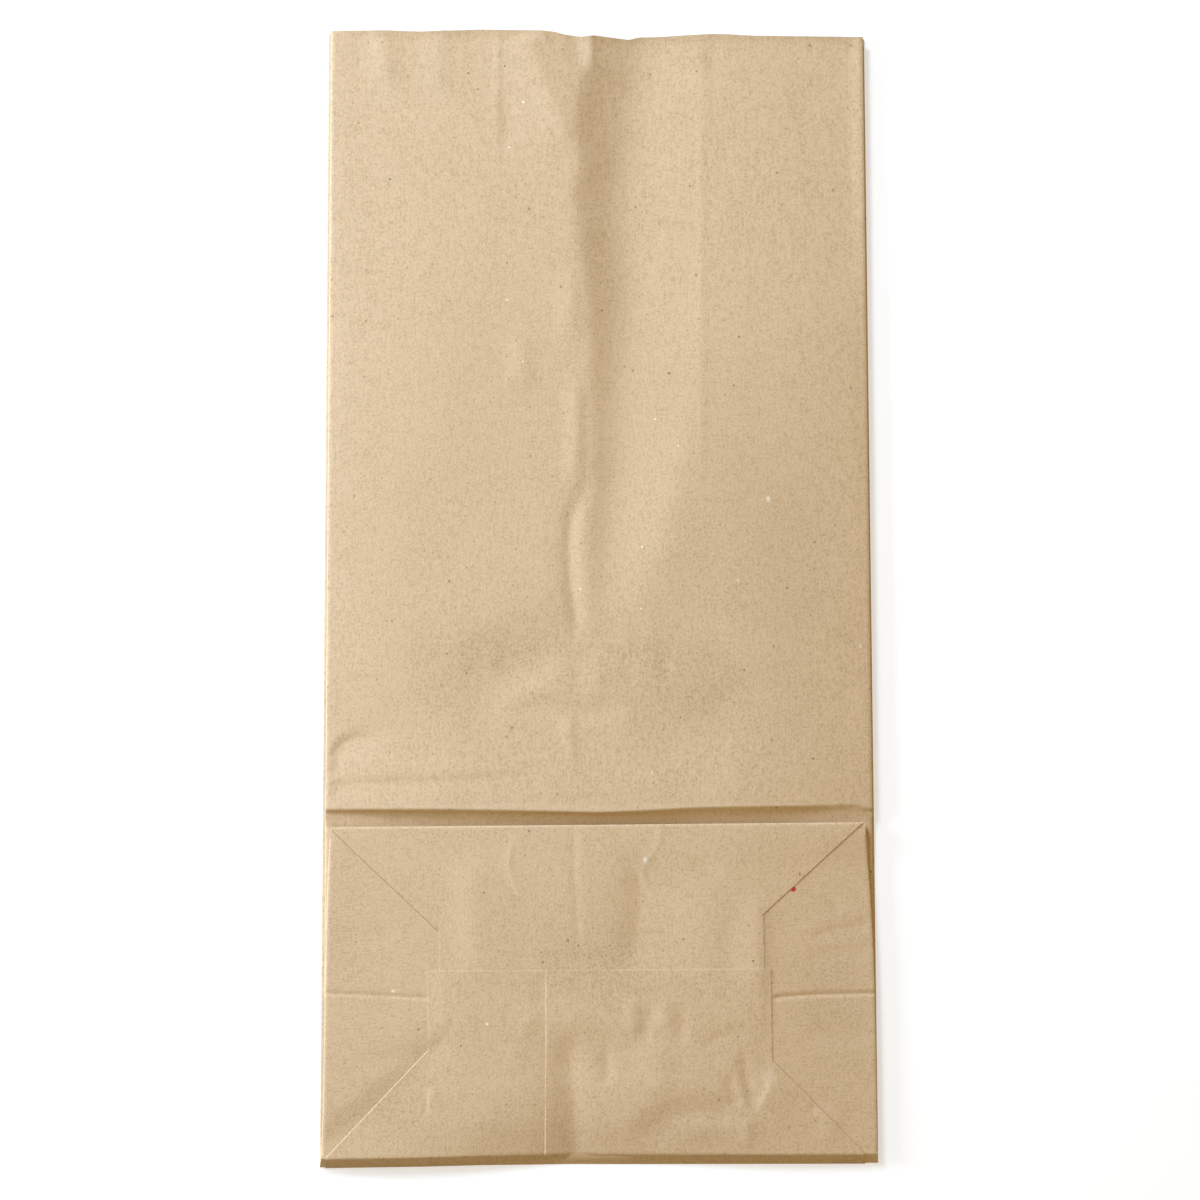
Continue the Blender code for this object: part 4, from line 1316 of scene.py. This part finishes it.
def floor():
    bpy.ops.mesh.primitive_plane_add(size=FLOOR_SIZE, location=(0, 0, 0))
    plane = bpy.context.object
    plane.name = "studio_floor"
    material = bpy.data.materials.new("pale_floor")
    nodes = Nodes(material)
    nodes.shader.inputs["Base Color"].default_value = FLOOR_COLOUR
    nodes.shader.inputs["Roughness"].default_value = FLOOR_ROUGHNESS
    nodes.shader.inputs["Specular IOR Level"].default_value = FLOOR_GLOSS
    nodes.shader.inputs["Emission Color"].default_value = FLOOR_GLOW
    glow = nodes.times(seen_or_mirrored(nodes), FLOOR_LIFT)
    nodes.link(glow, nodes.shader.inputs["Emission Strength"])
    plane.data.materials.append(material)


def world():
    """Warm fill light, and a white background wherever the camera sees past the floor."""
    sky = bpy.data.worlds.new("studio")
    bpy.context.scene.world = sky
    nodes = Nodes(sky)
    nodes.tree.nodes.clear()
    choose = nodes.add("ShaderNodeMixShader")
    nodes.link(seen_or_mirrored(nodes), choose.inputs[0])
    for socket, colour, strength in ((1, SKY, SKY_LEVEL), (2, (1.0, 1.0, 1.0), 1.0)):
        background = nodes.add("ShaderNodeBackground")
        background.inputs["Color"].default_value = colour + (1.0,)
        background.inputs["Strength"].default_value = strength
        nodes.link(background.outputs[0], choose.inputs[socket])
    nodes.link(choose.outputs[0], nodes.add("ShaderNodeOutputWorld").inputs[0])


def lamp(name, watts, size, distance, elevation, azimuth):
    """Square soft light that faces the bag; azimuth is in degrees from +X towards +Y."""
    light = bpy.data.lights.new(name, "AREA")
    light.energy = watts
    light.color = LAMP_COLOUR
    light.size = size
    spot = Vector((distance, 0, 0))
    spot.rotate(Matrix.Rotation(math.radians(-elevation), 3, "Y"))
    spot.rotate(Matrix.Rotation(math.radians(azimuth), 3, "Z"))
    holder = placed(name, light)
    holder.location = spot
    holder.rotation_euler = spot.to_track_quat("Z", "Y").to_euler()


def camera():
    data = bpy.data.cameras.new("photo_camera")
    data.sensor_width = SENSOR
    data.lens = FOCAL / PHOTO * SENSOR
    view = placed("photo_camera", data)
    view.matrix_world = Matrix.Translation(CAMERA_AT) @ camera_turn().transposed().to_4x4()
    bpy.context.scene.camera = view


def main():
    brown = kraft()
    for name, shape in (("paper_bag_sheet", tube), ("paper_bag_flaps", flaps)):
        piece = paper(name, shape)
        piece.data.materials.clear()
        piece.data.materials.append(brown)
        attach(piece, "root")
        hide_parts("paper_bag")
    floor()
    world()
    lamp("key", watts=18.9, size=0.32, distance=1.5, elevation=31, azimuth=120)
    lamp("rake", watts=5.3, size=0.2, distance=0.62, elevation=14, azimuth=170)
    camera()
    bpy.context.scene.view_settings.view_transform = "Standard"


main()
